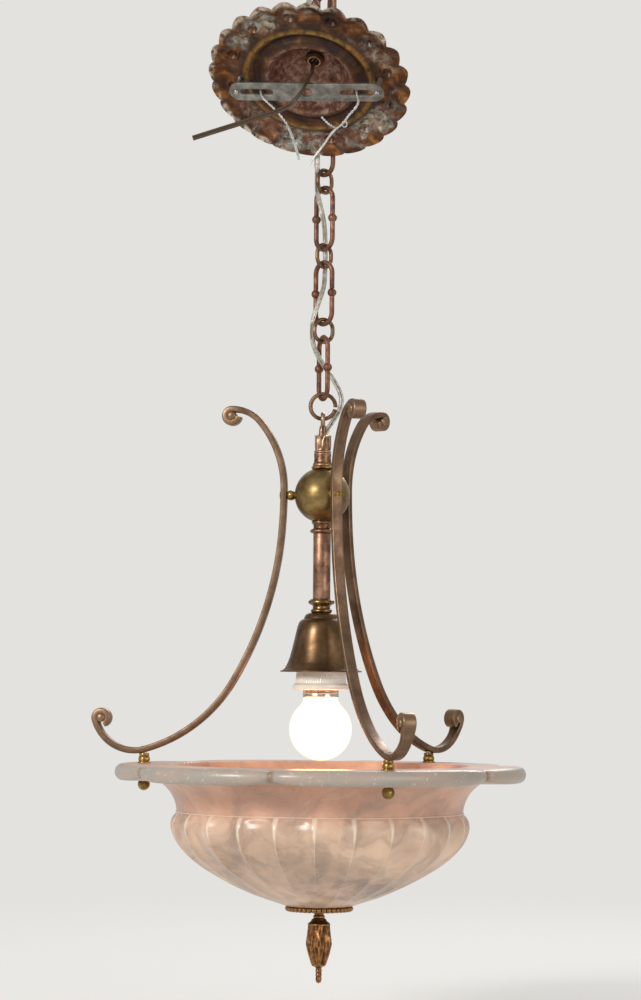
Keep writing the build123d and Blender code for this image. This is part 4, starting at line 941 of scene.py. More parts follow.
def makeSocket():
    p = socketPlan
    low, top, shell = p["ribLow"], p["ribTop"], p["shell"]
    ribbed = [(p["waist"] - p["taper"] * t, low + (top - low) * t) for t in np.linspace(0.1, 1, 6)]
    line = p["foot"] + [(p["waist"] + 0.1, low)] + ribbed + p["head"]
    turns = p["ribs"] * p["stepsPerRib"]
    spots = []
    for r, z in line:
        outside = r > shell["radius"] + 1
        band = ease(z, low - 0.3, low + 0.8) * (1 - ease(z, top - 0.4, top + 0.5)) if outside else 0.0
        for a in around(turns):
            spots.append(polar(r - band * p["ribDepth"] * (0.5 - 0.5 * math.cos(p["ribs"] * a)), a, z + rimZ))
    body = tidy(meshObject("porcelainBody", spots, gridFaces(len(line), turns, True, True)))
    finish(body, "porcelain", "fixture", "porcelain_socket")
    wave = [(shell["radius"] + shell["wave"] * math.sin(2 * math.pi * z / shell["pitch"]), z)
            for z in np.linspace(shell["low"], shell["top"], 60)]
    turnedPiece("screwShell", wave + [(r - shell["wall"], z) for r, z in wave[::-1]], "nickel", "fixture",
                "socket_shell", soft=0)


def makeLamp():
    p = lampPlan
    low, top, radius, wall, up = p["capLow"], p["capTop"], p["globeRadius"], p["globeWall"], p["globeUp"]
    thread = [(p["capRadius"] + p["wave"] * math.sin(2 * math.pi * (z - low) / p["pitch"]), z)
              for z in np.linspace(low + p["threadFrom"], top + p["threadTo"], 50)]
    cap = [(r, low + z) for r, z in p["capEdge"]] + thread + [(r, top + z) for r, z in p["capHead"]]
    turnedPiece("lampCap", cap, "nickel", "lamp", "lamp_cap", soft=0)
    shoulder = math.degrees(math.asin(p["shoulder"] / radius))
    outer = [(r, low + z) for r, z in p["neck"]] + arc((0, up), radius, 90 - shoulder, -90, 54)
    inner = arc((0, up), radius - wall, -90, 90 - shoulder, 24) + [(r - wall, low + z) for r, z in p["neck"][::-1]]
    turnedPiece("lampGlobe", outer + inner, "opalGlass", "lamp", "lamp_globe", soft=0)


makeSocket()
makeLamp()
print("socket and lamp made")


# arms and their screws; "low" and "top" are runs of (radius, degrees) from the ball down and from the ball up

armPlan = {"start": -69.0, "reach": 28.0, "startUp": 199.0, "width": 8.0, "thick": 4.5, "easing": 1.0,
           "low": [(368.0, 4.9), (252.0, 26.1), (110.0, 43.2), (30.0, 91.0)], "top": [(76.0, 39.8), (26.5, 52.0)],
           "scroll": (4.9, 262.0), "eyeRadius": 3.2, "eyeProud": 1.3, "eyeDome": [(0, 1), (0.5, 0.92), (0.86, 0.5)],
           "flare": 0.24, "flareFrom": 13, "flareFull": 4.5, "studAt": 129.5}


def arcRun(start, heading, arcs, turn):
    # points along a run of arcs, with the centre of the last
    spots, here, angle, centre = [start], np.array(start, float), heading, None
    for radius, sweep in arcs:
        side = math.radians(angle + turn * 90)
        centre = here + radius * np.array((math.cos(side), math.sin(side)))
        count = max(int(sweep * radius / 60), 10)  # about 1 mm apart
        for k in range(1, count + 1):
            a = side + math.pi + turn * math.radians(sweep) * k / count
            spots.append(tuple(centre + radius * np.array((math.cos(a), math.sin(a)))))
        here, angle = np.array(spots[-1]), angle + turn * sweep
    return spots, centre


def makeArms():
    p = armPlan
    start, upright = (p["reach"], p["startUp"]), Matrix.Rotation(math.radians(90), 4, "X")
    low, lowEye = arcRun(start, -90, p["low"] + [p["scroll"]], 1)
    top, topEye = arcRun(start, 90, p["top"] + [p["scroll"]], -1)
    bar = runTree(lineObject("armBar", [(x, z, 0) for x, z in low[::-1] + top[1:]]), "bar",
                  {"Width": p["width"] * mm, "Thickness": p["thick"] * mm, "Easing": p["easing"] * mm,
                   "Material": finishes["armBronze"]})
    for vertex in bar.data.vertices:  # the bar widens into its scrolls
        near = min(math.hypot(vertex.co.x / mm - c[0], vertex.co.y / mm - c[1]) for c in (lowEye, topEye))
        vertex.co.z *= 1 + p["flare"] * (1 - ease(near, p["flareFull"], p["flareFrom"]))
    bar.data.transform(upright)
    parts = [tidy(bar)]
    half, r, proud = p["width"] / 2 * (1 + p["flare"]), p["eyeRadius"], p["eyeProud"]
    dome = [(r * across, half + proud * out) for across, out in p["eyeDome"]] + [(r, half + 0.05)]
    button = [(x, -z) for x, z in dome] + dome[::-1]
    for x, z in (lowEye, topEye):
        parts.append(lathe("scrollEye", button, 40, 0, Matrix.Translation(metres((x, 0, z))) @ upright))
    arm = join("arms", parts)
    arm.data.transform(upRim())
    arms = ringOf(arm, 3, "armBronze", start=p["start"], mergeAt=0.003)
    finish(arms, "armBronze", "fixture", "arm_left", "arm_back", "arm_front")


screwPlan = {"collar": [(1.7, -0.1), (2.75, -0.1), (2.75, 0.55), (2.3, 0.75), (1.9, 0.6), (1.7, 0.3)],
             "head": {"radius": 1.75, "height": 0.75, "slot": 0.6, "turn": 0.9, "rows": 12, "columns": 40},
             "shank": [(0, 13), (1.6, 13), (1.6, 30.3), (0, 30.3)]}


def slottedHead(place):
    # a domed screw head with a slot across it
    p = screwPlan["head"]
    radius, height, rows, columns, spots = p["radius"], p["height"], p["rows"], p["columns"], []
    for i in range(rows):
        t = i / (rows - 1)
        for a in around(columns):
            x, y, _ = polar(radius * t, a, 0)
            inSlot = 1 - ease(abs(y), p["slot"] * 0.4, p["slot"] * 0.62)
            spots.append((x, y, height * (1 - 0.55 * t**3) - inSlot * height * 0.5))
    spots += [polar(radius, a, -0.05) for a in around(columns)]
    faces = gridFaces(rows + 1, columns, closeColumns=True) + [tuple(rows * columns + k for k in range(columns))]
    head = meshObject("ballScrewHead", spots, faces)
    head.data.transform(place)
    return tidy(head)


def threeOf(piece, key, *nodes):
    # one fitting for each arm
    finish(ringOf(piece, 3, key, armPlan["start"], 0.003), key, "fixture", *nodes)


def makeArmScrews():
    p, s = armPlan, screwPlan
    ballUp, ball, face = stemPlan["ballUp"], stemPlan["ballRadius"], p["reach"] + p["thick"] / 2

    def outAt(reach):
        return Matrix.Translation(metres((reach, 0, ballUp))) @ Matrix.Rotation(math.radians(90), 4, "Y")

    collar = lathe("screwCollar", s["collar"], 40, 0.08, outAt(face))
    head = slottedHead(outAt(face) @ Matrix.Rotation(s["head"]["turn"], 4, "Z"))
    screw = join("ballScrews", [collar, head, lathe("ballScrewShank", s["shank"], 24, 0, outAt(0))])
    screw.data.transform(upRim())
    threeOf(screw, "turnedBrass", "ball_screws")
    length = p["reach"] - p["thick"] / 2 - ball
    bead = [(1.65, -0.6), (2.5, -0.6), (2.6, 0.4)] + arc((0, length / 2), 3.75, -48, 48, 15)
    bead += [(2.6, length - 0.3), (2.4, length), (1.65, length)]
    spacer = lathe("ballSpacers", bead, 48, 0.1, outAt(ball))
    spacer.data.transform(upRim())
    threeOf(spacer, "turnedBrass", "ball_spacers")


def makeRimFittings():
    p = armPlan
    low, _ = arcRun((p["reach"], p["startUp"]), -90, p["low"], 1)
    # the arm's underside over the stud
    under = min(z for x, z in low if abs(x - p["studAt"]) < 6 and z < 60) - p["thick"] / 2
    spacer = [(2.15, 0.85), (3.3, 0.85), (3.7, 1.5)] + arc((0.9, under / 2 - 0.6), 3.35, -38, 38, 13)
    spacer += [(3.3, under - 1.9), (3.7, under - 1.2), (3.6, under + 0.3), (2.15, under + 0.3)]
    nut = [(0.0, -11.35), (3.3, -11.35), (3.3, -12.0)] + arc((0, -15.4), 4.45, 48, -74, 20)
    nut += [(1.0, -19.8), (0, -20.0)]
    washer = [(2.15, 0.05), (4.8, 0.05), (4.8, 0.8), (2.15, 0.8)]
    at = Matrix.Translation(metres((p["studAt"], 0, rimZ)))
    for name, node, outline in (("rimSpacers", "rim_spacers", spacer), ("ballNuts", "ball_nuts", nut),
                                ("rimWashers", "rim_washers", washer)):
        threeOf(lathe(name, outline, 48, 0.15, at), "turnedBrass", node)
    print("rim fittings under the arms at", round(under, 2), "mm")


makeArms()
makeArmScrews()
makeRimFittings()
print("arms made")


# the bowl

bowlPlan = {"flange": 148.0, "bite": 0.0243, "thick": 11.3, "round": 4.8, "wide": 70.0, "narrow": 50.0,
            "mouth": 106.0, "mouthRound": 1.4, "hole": 5.5,
            "notchAt": (-35.0, 35.0), "notchHalf": (5.5, 1.2), "notchCut": (2.2, 2.4), "notchDip": 0.9,
            "notchLift": 2.6, "flutes": 24, "fluteDepth": 0.021, "ridgeTurn": -92.0, "landHalf": 0.6,
            "landLow": -56.0, "landTop": -36.5, "columnsPerFlute": 20,
            "inside": [(18.0, -91.0), (81.0, -68.0), (93.0, -33.4), (97.0, -21.0), (106.0, -0.6)],
            "neck": [(118.0, -11.3), (107.0, -21.0), (103.0, -33.2)],
            "bead": [(103.1, -33.3), (103.6, -33.5), (103.75, -33.9), (103.5, -34.3), (102.9, -34.55)],
            "outline": [(103.2, -34.4), (106.6, -38.6), (107.7, -44.0), (106.2, -50.5), (102.4, -57.6),
                        (96.0, -64.8), (87.9, -71.4), (79.6, -76.8), (69.0, -82.8), (57.8, -88.3), (44.7, -93.8),
                        (33.3, -97.6), (23.5, -101.0)]}


def smoothOutline(points, count):
    # a smooth line through the points
    points, steps = np.array(points, float), 16
    ends = np.vstack([2 * points[0] - points[1], points, 2 * points[-1] - points[-2]])
    line = []
    for i in range(len(points) - 1):
        a, b, c, d = ends[i:i + 4]
        line += [0.5 * (2 * b + (c - a) * t + (2 * a - 5 * b + 4 * c - d) * t**2 + (3 * b - a - 3 * c + d) * t**3)
                 for t in np.linspace(0, 1, steps, endpoint=False)]
    return respaced(np.array(line + [points[-1]]), count)


def throughThree(a, b, c, count):
    # an arc from a to c through b, without its first point
    (ax, ay), (bx, by), (cx, cy) = a, b, c
    d = 2 * (ax * (by - cy) + bx * (cy - ay) + cx * (ay - by))
    ux = ((ax**2 + ay**2) * (by - cy) + (bx**2 + by**2) * (cy - ay) + (cx**2 + cy**2) * (ay - by)) / d
    uy = ((ax**2 + ay**2) * (cx - bx) + (bx**2 + by**2) * (ax - cx) + (cx**2 + cy**2) * (bx - ax)) / d
    start, mid, end = (math.degrees(math.atan2(y - uy, x - ux)) for x, y in (a, b, c))
    sweep = (end - start + 540) % 360 - 180
    if abs(((mid - start + 540) % 360 - 180)) > abs(sweep):
        sweep = sweep - 360 if sweep > 0 else sweep + 360
    return arc((ux, uy), math.hypot(ax - ux, ay - uy), start, start + sweep, count)[1:]


def lobeRadius(angle):
    # the flange's edge: a wide lobe over each arm and a narrow one between
    p = bowlPlan
    turn = (angle - armPlan["start"] + 60) % 120 - 60
    half = p["wide"] / 2
    if abs(turn) > half:
        turn, half = abs(turn) - 60, p["narrow"] / 2
    full, notch = p["flange"], p["flange"] * (1 - p["bite"])
    shift = (full**2 - notch**2) / (2 * full - 2 * notch * math.cos(math.radians(half)))
    t = math.radians(turn)
    return shift * math.cos(t) + math.sqrt(max((full - shift)**2 - (shift * math.sin(t)) ** 2, 0))


def bowlProfile():
    # rows of the stone's skin, from the inner floor up over the rim and down to the drain hole
    p = bowlPlan
    inside, foot = p["inside"], p["outline"][-1][1]
    rows = [("plain", r, inside[0][1]) for r in (p["hole"], 10.0, 18.0)]
    rows += [("plain", r, z) for r, z in throughThree(*inside[:3], 34) + throughThree(*inside[2:], 16)]
    rows += [("plain", p["mouth"] + 0.5, -0.1), ("plain", p["mouth"] + p["mouthRound"], 0.0)]
    rows += [("flat", s, 0.0) for s in np.linspace(0.1, 1, 6)]
    rows += [("edge", math.cos(a), math.sin(a)) for a in np.linspace(math.pi / 2, -math.pi / 2, 17)]
    rows += [("under", s, -p["thick"]) for s in np.linspace(1, 0, 7)]
    rows += [("plain", r, z) for r, z in throughThree(*p["neck"], 18)]
    rows += [("bead", r, z) for r, z in p["bead"]]
    rows += [("flute", r, z) for r, z in smoothOutline(p["outline"], 78)]
    return rows + [("plain", r, foot) for r in (19.0, 12.0, p["hole"])]


def bowlPoint(kind, r, z, angle):
    # where a row's point lies at this angle, and how much painted highlight, grey rim and painted shade in the
    # cleft the stone takes there
    p = bowlPlan
    away = min(abs((angle - armPlan["start"] - at + 60) % 120 - 60) for at in p["notchAt"])
    # 1 where two lobes meet: a broad dip, and a cleft at its middle
    notch, cleft = (bump(away, half, 1.5) for half in p["notchHalf"])
    edge = lobeRadius(angle) - p["notchCut"][0] * notch - p["notchCut"][1] * cleft - p["round"]
    dip, lift = p["notchDip"] * notch, p["notchLift"] * notch
    # the last value is painted shade in the cleft, on the flat and round the edge
    if kind == "flat":
        inner = p["mouth"] + p["mouthRound"]
        return inner + (edge - inner) * r, -dip * r**3, 0.0, 0.25 * r, cleft * r**6
    if kind == "edge":
        low = lift - p["thick"]
        return edge + p["round"] * r, (low - dip) / 2 - (dip + low) / 2 * z, 0.0, 1.0, cleft
    if kind == "under":
        neck = p["neck"][0][0]
        return neck + (edge - neck) * r, z + lift * r**2, 0.0, r**1.5, 0.0
    if kind == "flute":
        # sharp ridges at the outline, each with a flat sliver of land below the bead
        half = 180 / p["flutes"]
        turn = abs((angle - p["ridgeTurn"] + half) % (2 * half) - half)
        off = max(turn - p["landHalf"] * ease(z, p["landLow"], p["landTop"]), 0.0)
        share = ease(-z, 34.4, 39.0) * (1 - 0.5 * ease(-z, 96.0, 101.0))
        v = min(off / (half - p["landHalf"] * ease(z, p["landLow"], p["landTop"])), 1.0)
        scoop = (1 - math.cos(math.radians(half)) + p["fluteDepth"]) * (1 - (1 - v) ** 2.2)
        # a painted highlight along each ridge and its land, stronger towards the top
        pale = bump(off, 0.1 + 0.12 * ease(z, p["landLow"], -36.0)) * (0.4 + 0.5 * ease(z, -72, -40))
        return r * (1 - scoop * share), z, pale, 0.0, 0.0
    # the bead takes a painted highlight as well
    return r, z, 0.55 if kind == "bead" else 0.0, 0.0, 0.0


def makeBowl():
    p = bowlPlan
    half = 180 / p["flutes"]
    # a third of the bowl, with its columns close together at each ridge
    shares = np.linspace(-1, 1, p["columnsPerFlute"] + 1)
    across = half * np.sign(shares) * np.abs(shares) ** 1.5
    turns = [0.0]
    for flute in range(p["flutes"] // 3):
        turns += [flute * 2 * half + half + a for a in across[1:]]
    turns = [p["ridgeTurn"] - half + t for t in turns]
    rows = bowlProfile()
    # cleft holds the painted shade in the clefts
    spots, masks = [], {"pale": [], "rim": [], "cleft": []}
    for kind, r, z in rows:
        for angle in turns:
            rr, zz, *shades = bowlPoint(kind, r, z, angle)
            spots.append(polar(rr, math.radians(angle), zz + rimZ))
            for mask, shade in zip(masks.values(), shades):
                mask.append(shade)
    sector = meshObject("alabasterBowl", spots, gridFaces(len(rows), len(turns)), masks)
    bowl = ringOf(sector, 3, "alabaster", mergeAt=0.02, sharpAt=30)
    closeHoles(bowl, bmesh.ops.bridge_loops)
    finish(bowl, "alabaster", "fixture", "alabaster_bowl")
    print("bowl made:", len(bowl.data.polygons), "faces")


makeBowl()


# rosette and finial under the bowl

# rows of the rosette are (share of the radius, height); the finial's outline is (radius, depth)
rosettePlan = {"radius": 24.5, "leaves": 20, "start": 4, "thick": 4.3, "foot": -101.0, "columns": 24,
               "rimFrom": 0.85, "lobeCut": 1.1, "lobeLift": 0.7, "edgeLift": 0.5, "midrib": (0.5, 0.14),
               "gadroon": 0.3,
               "rows": [(0.13, 0.0), (0.6, 0.0), (0.94, -0.1), (0.985, -0.5), (1.0, -1.3), (1.0, -2.2),
                        (0.975, -3.1), (0.93, -3.7), (0.89, -3.6), (0.86, -3.0), (0.83, -2.9), (0.78, -3.1),
                        (0.7, -3.4), (0.6, -3.7), (0.45, -4.0), (0.3, -4.2), (0.13, -4.3)]}
finialPlan = {"top": -105.3, "depth": 51.0, "leaves": 6, "start": -90, "relief": 1.25, "widest": 10.0,
              "columns": 36, "leafed": ((8.4, 10.5), (36.0, 38.4)), "midrib": (0.55, 0.17),
              "veins": (0.36, 5.2, 0.3), "cut": 0.9,
              "curl": {"depth": 22.5, "height": 0.8, "tall": 2.0, "wide": 0.4},
              "outline": [(3.6, 0.0), (3.4, 2.0), (4.2, 2.7), (4.3, 3.6), (3.9, 4.2), (5.2, 5.2), (6.0, 6.6),
                          (7.2, 7.4), (8.2, 8.6), (8.1, 9.6), (8.3, 12.0), (9.0, 17.0), (9.6, 21.0), (9.7, 23.4),
                          (9.0, 26.6), (7.6, 31.0), (6.2, 35.0), (5.1, 38.0), (3.4, 38.9), (2.3, 39.6),
                          (2.1, 41.0), (2.4, 42.0), (2.0, 43.3), (2.3, 44.8), (2.0, 46.2), (2.2, 47.6),
                          (2.0, 49.0), (1.5, 50.2)]}


def makeRosette():
    p = rosettePlan
    rows, columns, spots = p["rows"], p["columns"], []
    for share, z in rows:
        for k in range(columns + 1):
            t = k / columns * 2 - 1  # across one leaf, which ends in two lobes at the rim
            lobe = math.sqrt(abs(math.sin(math.pi * t)))
            rr, low = p["radius"] * share, z
            if share > p["rimFrom"]:
                rr -= p["lobeCut"] * (1 - lobe)
                low += p["lobeLift"] * (1 - lobe) if z < -1.0 else 0
            elif z < -1.0 and share > 0.3:
                low += p["edgeLift"] * abs(t) ** 3 - p["midrib"][0] * bump(t, p["midrib"][1])
                low += p["gadroon"] * math.cos(9 * abs(t) + 25 * share)
            spots.append(polar(rr, math.radians(180 / p["leaves"]) * t, p["foot"] + max(low, -p["thick"])))
    leaf = meshObject("bottomRosette", spots, gridFaces(len(rows), columns + 1, closeRows=True))
    rosette = ringOf(leaf, p["leaves"], "darkGilt", start=p["start"], mergeAt=0.02, sharpAt=50)
    rosette.data.transform(upRim())
    finish(rosette, "darkGilt", "fixture", "bottom_rosette")


def makeFinial():
    p = finialPlan
    line, columns, spots = smoothOutline(p["outline"], 150), p["columns"], []
    (rib, ribHalf), (veins, sweep, slope), tip = p["midrib"], p["veins"], p["curl"]
    for r, depth in line:
        leafed = ease(depth, *p["leafed"][0]) * (1 - ease(depth, *p["leafed"][1]))
        for k in range(columns + 1):
            t = k / columns * 2 - 1
            # each leaf: a raised midrib, side veins that sweep down, deep cuts between, and a curled tip half way
            vein = veins * math.cos(abs(t) * sweep + depth * slope)
            relief = rib * bump(t, ribHalf) + vein * (1 - t**2) - p["cut"] * t**4
            curl = tip["height"] * bump(depth - tip["depth"], tip["tall"]) * bump(t, tip["wide"])
            rr = min(r + p["relief"] * leafed * (relief + curl - 0.15), p["widest"])
            spots.append(polar(rr, math.radians(180 / p["leaves"]) * t, p["top"] - depth))
    spots += [(0, 0, p["top"] - p["depth"])] * (columns + 1)
    sector = meshObject("finial", spots, gridFaces(len(line) + 1, columns + 1))
    finial = ringOf(sector, p["leaves"], "castGilt", start=p["start"], mergeAt=0.02, sharpAt=60)
    closeHoles(finial, bmesh.ops.holes_fill)
    finial.data.transform(upRim())
    finish(finial, "castGilt", "fixture", "finial")


makeRosette()
makeFinial()
print("rosette and finial made")


# the canopy with its bar

# the pressed shape of its outer face, (radius, height over the mouth): a domed middle, a lip, a valley, a rib and
# a border; its rows stand closer together where it turns sharply
pressing = [(0, 29.0), (8, 28.8), (14, 27.4), (20, 24.0), (25, 18.8), (28.5, 12.6), (30.4, 7.4), (31.2, 4.8),
            (32, 3.6), (33.2, 3.8), (35.5, 6.0), (38, 7.2), (41, 6.8), (43.4, 4.6), (45, 3.7), (46.6, 4.4),
            (49, 6.2), (52, 7.4), (57, 7.8), (61, 7.4), (65, 6.4), (68, 5.0), (70, 4.0), (72.5, 2.9)]
canopyRows = [5.2, 7, 9, 11, 13, 15, 17, 19, 21, 23, 25, 26.5, 27.7, 28.7, 29.5, 30.1, 30.6, 31.2, 32, 32.8, 33.6,
              34.6, 36, 38, 40, 42, 43.2, 44.2, 45, 45.8, 46.8, 48, 49.5]
canopyRows += list(np.arange(51, 64.2, 0.75)) + list(np.arange(65, 72.6, 0.6)) + [72.5]


def pressedHeight(r):
    return float(np.interp(r, *zip(*pressing)))


def canopyPoint(r, a, inner):
    p = canopyPlan
    half, sector = math.pi / p["scallops"], 2 * math.pi / p["sectors"]
    leaf = abs(((a + half) % (2 * half)) / half - 1)  # across one scallop
    edge = p["radius"] - p["scallopBite"] * leaf ** 1.8
    border = p["border"]
    rr = r if r < border else border + (r - border) * (edge - border) / (p["radius"] - border)
    z = pressedHeight(r) + ease(r, *p["petal"]) * (p["petalRise"] * (1 - leaf ** 1.6) - p["petalDrop"])
    # a round boss in each sector, with a groove round it and a dimple at its crown
    turn = (a - math.radians(p["bossTurn"]) + sector / 2) % sector - sector / 2
    away = math.hypot(rr - p["bossAt"], turn * p["bossAt"])
    boss = p["boss"]
    relief = boss["height"] * bump(away, boss["radius"], 4) - boss["dimple"] * bump(away, boss["dimpleHalf"])
    relief -= boss["groove"] * bump(away - boss["grooveAt"], boss["grooveHalf"])
    z += relief * (1 - ease(away, *boss["fade"]))
    if inner:  # inside the outer face by the wall, square to it
        lean = math.atan2(pressedHeight(r - 0.4) - pressedHeight(r + 0.4), 0.8)
        wall = p["wall"] * (1 - 0.5 * ease(r, 68, 72.5))
        rr, z = rr - wall * math.sin(lean) * (1 - ease(r, 66, 72)), z - wall * math.cos(lean)
    return polar(rr, a, max(z, p["leastUp"]))


# radii between which each tone comes in, and those between which it goes out again
canopyBands = {"valley": (32.5, 34.5, 40, 43.5), "outerValley": (46.5, 48, 50, 54), "rib": (43, 44.4, 45.8, 47.4),
               "slope": (47, 52, 60, 66), "green": (48, 51, 69, 71), "cup": (31, 33.5), "border": (67, 69.5)}


def canopyMasks(x, y):
    # how far each tone of the stamped brass, and its painted shade and painted highlight, shows at a point
    p = canopyPlan
    r, a = math.hypot(x, y), math.atan2(y, x)
    sector = 2 * math.pi / p["sectors"]
    patch = noise.noise((x / 14, y / 14, 3.7)) + 0.5 * noise.noise((x / 6, y / 6, 9.1))
    # the upper left, where the painted highlight on the border is strongest
    highlightSide = 0.5 + 0.5 * math.cos(a + math.radians(140))  # as seen from below
    green = max(math.exp(-((x - cx) ** 2 + (y - cy) ** 2) / size**2) for cx, cy, size in p["verdigris"])
    green = min(1.0, 1.15 * green * ease(patch, -0.4, 0.1) + 0.4 * ease(patch, 0.15, 0.4))
    turn = (a - math.radians(p["bossTurn"])) % sector - sector / 2
    ring = bump(math.hypot(r - p["bossAt"], turn * p["bossAt"]) - 4.6, 1.1)

    valley, outerValley, rib, slope, verdigris = (
        ease(r, *canopyBands[key][:2]) * (1 - ease(r, *canopyBands[key][2:]))
        for key in ("valley", "outerValley", "rib", "slope", "green"))
    cup, border = 1 - ease(r, *canopyBands["cup"]), ease(r, *canopyBands["border"])
    # shade is painted shade in the two valleys; edge is a painted highlight on the border, strongest at the upper
    # left, and on the rings round the bosses, broken into patches
    return {"shade": valley + 0.7 * outerValley, "copper": cup + slope * 0.45 * ease(y, 10, 40), "gold": rib,
            "verdigris": verdigris * green,
            "edge": border * ease(patch + 0.8 * highlightSide, 0.2, 0.6) + 0.5 * ring * ease(patch, -0.1, 0.3)}


def makeCanopy():
    rows, turns = len(canopyRows), canopyPlan["scallops"] * 18
    spots = [canopyPoint(r, a, inner) for inner in (False, True) for r in canopyRows for a in around(turns)]
    size = rows * turns
    faces = gridFaces(rows, turns, closeColumns=True)
    faces += [tuple(size + i for i in reversed(f)) for f in faces]
    for first in (0, size - turns):  # the hole and the border join the two faces
        faces += [(first + k, first + (k + 1) % turns, size + first + (k + 1) % turns, size + first + k)
                  for k in range(turns)]
    shades = [canopyMasks(x, y) for x, y, _ in spots]
    masks = {key: [shade[key] for shade in shades] for key in shades[0]}
    canopy = tidy(meshObject("canopy", spots, faces, masks), 0.005, 55)
    canopy.data.transform(canopyMatrix())
    finish(canopy, "stampedBrass", "canopy", "canopy")


def makeCanopyFittings():
    deep, nut = canopyPlan["depth"], canopyPlan["depth"] - canopyPlan["wall"]
    locknut = [(5.05, nut), (6.2, nut), (6.8, nut - 0.5), (6.8, nut - 2.4), (6.3, nut - 3.0), (5.05, nut - 3.0)]
    nipple = [(3.7, nut - 4.4), (4.95, nut - 4.4), (4.95, deep + 4.8), (3.7, deep + 4.8)]
    for name, node, outline, key in (("canopyLocknut", "canopy_locknut", locknut, "stampedBrass"),
                                     ("canopyNipple", "canopy_nipple", nipple, "castCopper")):
        finish(lathe(name, outline, 64, 0.2, canopyMatrix()), key, "canopy", node)


barPlan = {"length": 112.0, "width": 16.0, "thick": 1.8, "proud": 10.0, "hole": 8.7, "slot": 24.0, "slotWidth": 5.5,
           "slotAt": 36.0, "screwAt": 51.0, "screwHole": 4.1, "bevel": 0.25,
           "screw": [(0, -11.3), (1.2, -11.2), (1.8, -10.7), (2.0, -9.9), (2.0, 7.2), (3.8, 7.4), (3.8, 9.0),
                     (3.2, 10.0), (1.6, 10.5), (0, 10.6)]}


def slotOutline(cx, length, width, count=20):
    half = length / 2 - width / 2
    return arc((cx + half, 0), width / 2, -90, 90, count) + arc((cx - half, 0), width / 2, 90, 270, count)


def makeCrossbar():
    p = barPlan
    inset = p["bevel"]  # the bevel grows the outline outwards, and the holes inwards
    outlines = [slotOutline(0, p["length"] - 2 * inset, p["width"] - 2 * inset, 30),
                arc((0, 0), p["hole"] / 2 + inset, 0, 360, 41)[:-1]]
    for side in (-1, 1):
        outlines.append(slotOutline(side * p["slotAt"], p["slot"] + 2 * inset, p["slotWidth"] + 2 * inset))
        outlines.append(arc((side * p["screwAt"], 0), p["screwHole"] / 2 + inset, 0, 360, 25)[:-1])
    data = bpy.data.curves.new("crossbar", "CURVE")
    data.dimensions, data.fill_mode = "2D", "BOTH"
    data.extrude, data.bevel_depth, data.bevel_resolution = (p["thick"] / 2 - inset) * mm, inset * mm, 2
    for outline in outlines:
        spline = data.splines.new("POLY")
        spline.points.add(len(outline) - 1)
        for spot, (x, y) in zip(spline.points, outline):
            spot.co = (x * mm, y * mm, 0, 1)
        spline.use_cyclic_u = True
    bar = newObject("crossbar", builtMesh(newObject("crossbarFlat", data)))
    matrix = canopyMatrix(canopyPlan["barTurn"])
    bar.data.transform(matrix @ Matrix.Translation(metres((0, 0, -p["proud"] + p["thick"] / 2))))
    finish(tidy(bar, 0.005, 30), "galvanised", "canopy", "crossbar")
    screws = [lathe("barScrew", p["screw"], 32, 0.1, matrix @ Matrix.Translation(metres((x, 0, 0))))
              for x in (-p["screwAt"], p["screwAt"])]
    finish(join("crossbarScrews", screws), "screwSteel", "canopy", "crossbar_screws")


makeCanopy()
makeCanopyFittings()
makeCrossbar()
print("canopy made")


# CAD nodes that keep their own shape, and only take a finish
kept = {"canopy_loop": "stampedBrass", "rim_studs": "screwSteel", "stem_rod": "turnedBrass",
        "inner_leads": "leadPvc", "bell_locknut": "turnedBrass", "socket_nut": "turnedBrass",
        "socket_contact": "turnedBrass", "lamp_stem": "stemGlass", "lamp_filament": "tungsten",
        "finial_rod": "turnedBrass", "inner_washer": "turnedBrass", "inner_nut": "turnedBrass"}
for node, key in kept.items():
    paint(bpy.data.objects[node], key)
print("kept shapes finished:", len(kept))


# studio; places in metres, power in watts

studio = {"floorUp": -775.0, "floorRadius": 4000.0, "paper": "#E9E8E5", "air": "#E3E2DF", "sky": "#F4F3F0",
          "world": 0.6, "fade": (0.35, 1.6),
          "lights": {"key": {"at": (-1.5, -1.8, 0.4), "aim": (0, 0, -0.45), "size": 0.7, "power": 38.0},
                     "fill": {"at": (1.6, -1.7, -0.3), "aim": (0, 0, -0.4), "size": 1.6, "power": 12.0},
                     "back": {"at": (0.6, 1.9, 0.9), "aim": (0, 0, -0.4), "size": 1.2, "power": 22.0}}}


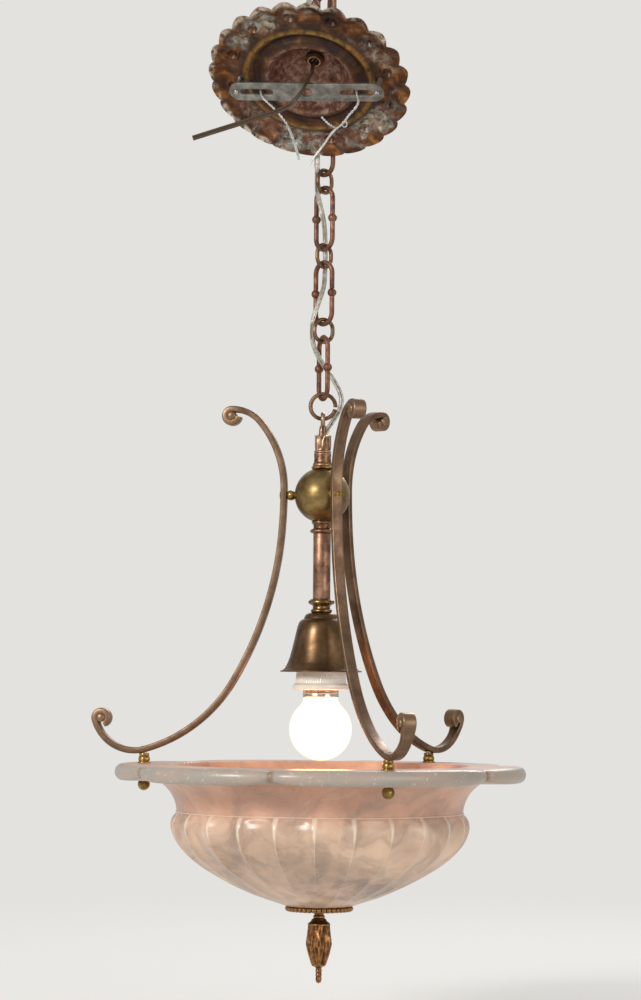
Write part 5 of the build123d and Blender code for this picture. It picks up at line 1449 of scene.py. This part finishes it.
def palePaper():
    # matt white paper, which fades into the air away from the object and is clear from below
    p = studio
    material, tree, place = startMaterial("palePaper")
    paper = addNode(tree, "ShaderNodeBsdfPrincipled", {"Base Color": p["paper"], "Roughness": 0.9})
    flat = addNode(tree, "ShaderNodeVectorMath", {"operation": "MULTIPLY", 0: place, 1: (1, 1, 0)})
    away = addNode(tree, "ShaderNodeVectorMath", {"operation": "LENGTH", 0: flat}).outputs["Value"]
    far = addNode(tree, "ShaderNodeMapRange",
                  {"interpolation_type": "SMOOTHSTEP"} | spread(away, p["fade"], (0.0, 1.0)))
    below = addNode(tree, "ShaderNodeNewGeometry").outputs["Backfacing"]
    clear = addNode(tree, "ShaderNodeMath", {"operation": "MAXIMUM", 0: far, 1: below})
    both = addNode(tree, "ShaderNodeMixShader", {0: clear, 1: paper, 2: addNode(tree, "ShaderNodeBsdfTransparent")})
    addNode(tree, "ShaderNodeOutputMaterial", {"Surface": both})
    return material


def makeStudio():
    # a pale floor that takes the shadow, soft lamps, and plain air round it all
    p = studio
    points = 64
    floor = meshObject("floor", [polar(p["floorRadius"], a, p["floorUp"]) for a in around(points)],
                       [tuple(range(points))])
    floor.data.materials.append(palePaper())
    for name, light in p["lights"].items():
        data = bpy.data.lights.new(name, "AREA")
        data.shape, data.size, data.energy = "DISK", light["size"], light["power"]
        lamp = newObject(name, data)
        lamp.location = light["at"]
        lamp.rotation_euler = (Vector(light["aim"]) - Vector(light["at"])).to_track_quat("-Z", "Y").to_euler()
    world = bpy.data.worlds.new("studio")
    bpy.context.scene.world = world
    world.use_nodes = True
    tree = world.node_tree
    tree.nodes.clear()
    soft = addNode(tree, "ShaderNodeBackground", {"Color": p["sky"], "Strength": p["world"]})
    seen = addNode(tree, "ShaderNodeBackground", {"Color": p["air"], "Strength": 1.0})
    eye = addNode(tree, "ShaderNodeLightPath").outputs["Is Camera Ray"]
    addNode(tree, "ShaderNodeOutputWorld", {0: addNode(tree, "ShaderNodeMixShader", {0: eye, 1: soft, 2: seen})})
    bpy.context.scene.view_settings.view_transform = "Standard"


makeStudio()
print("scene ready")
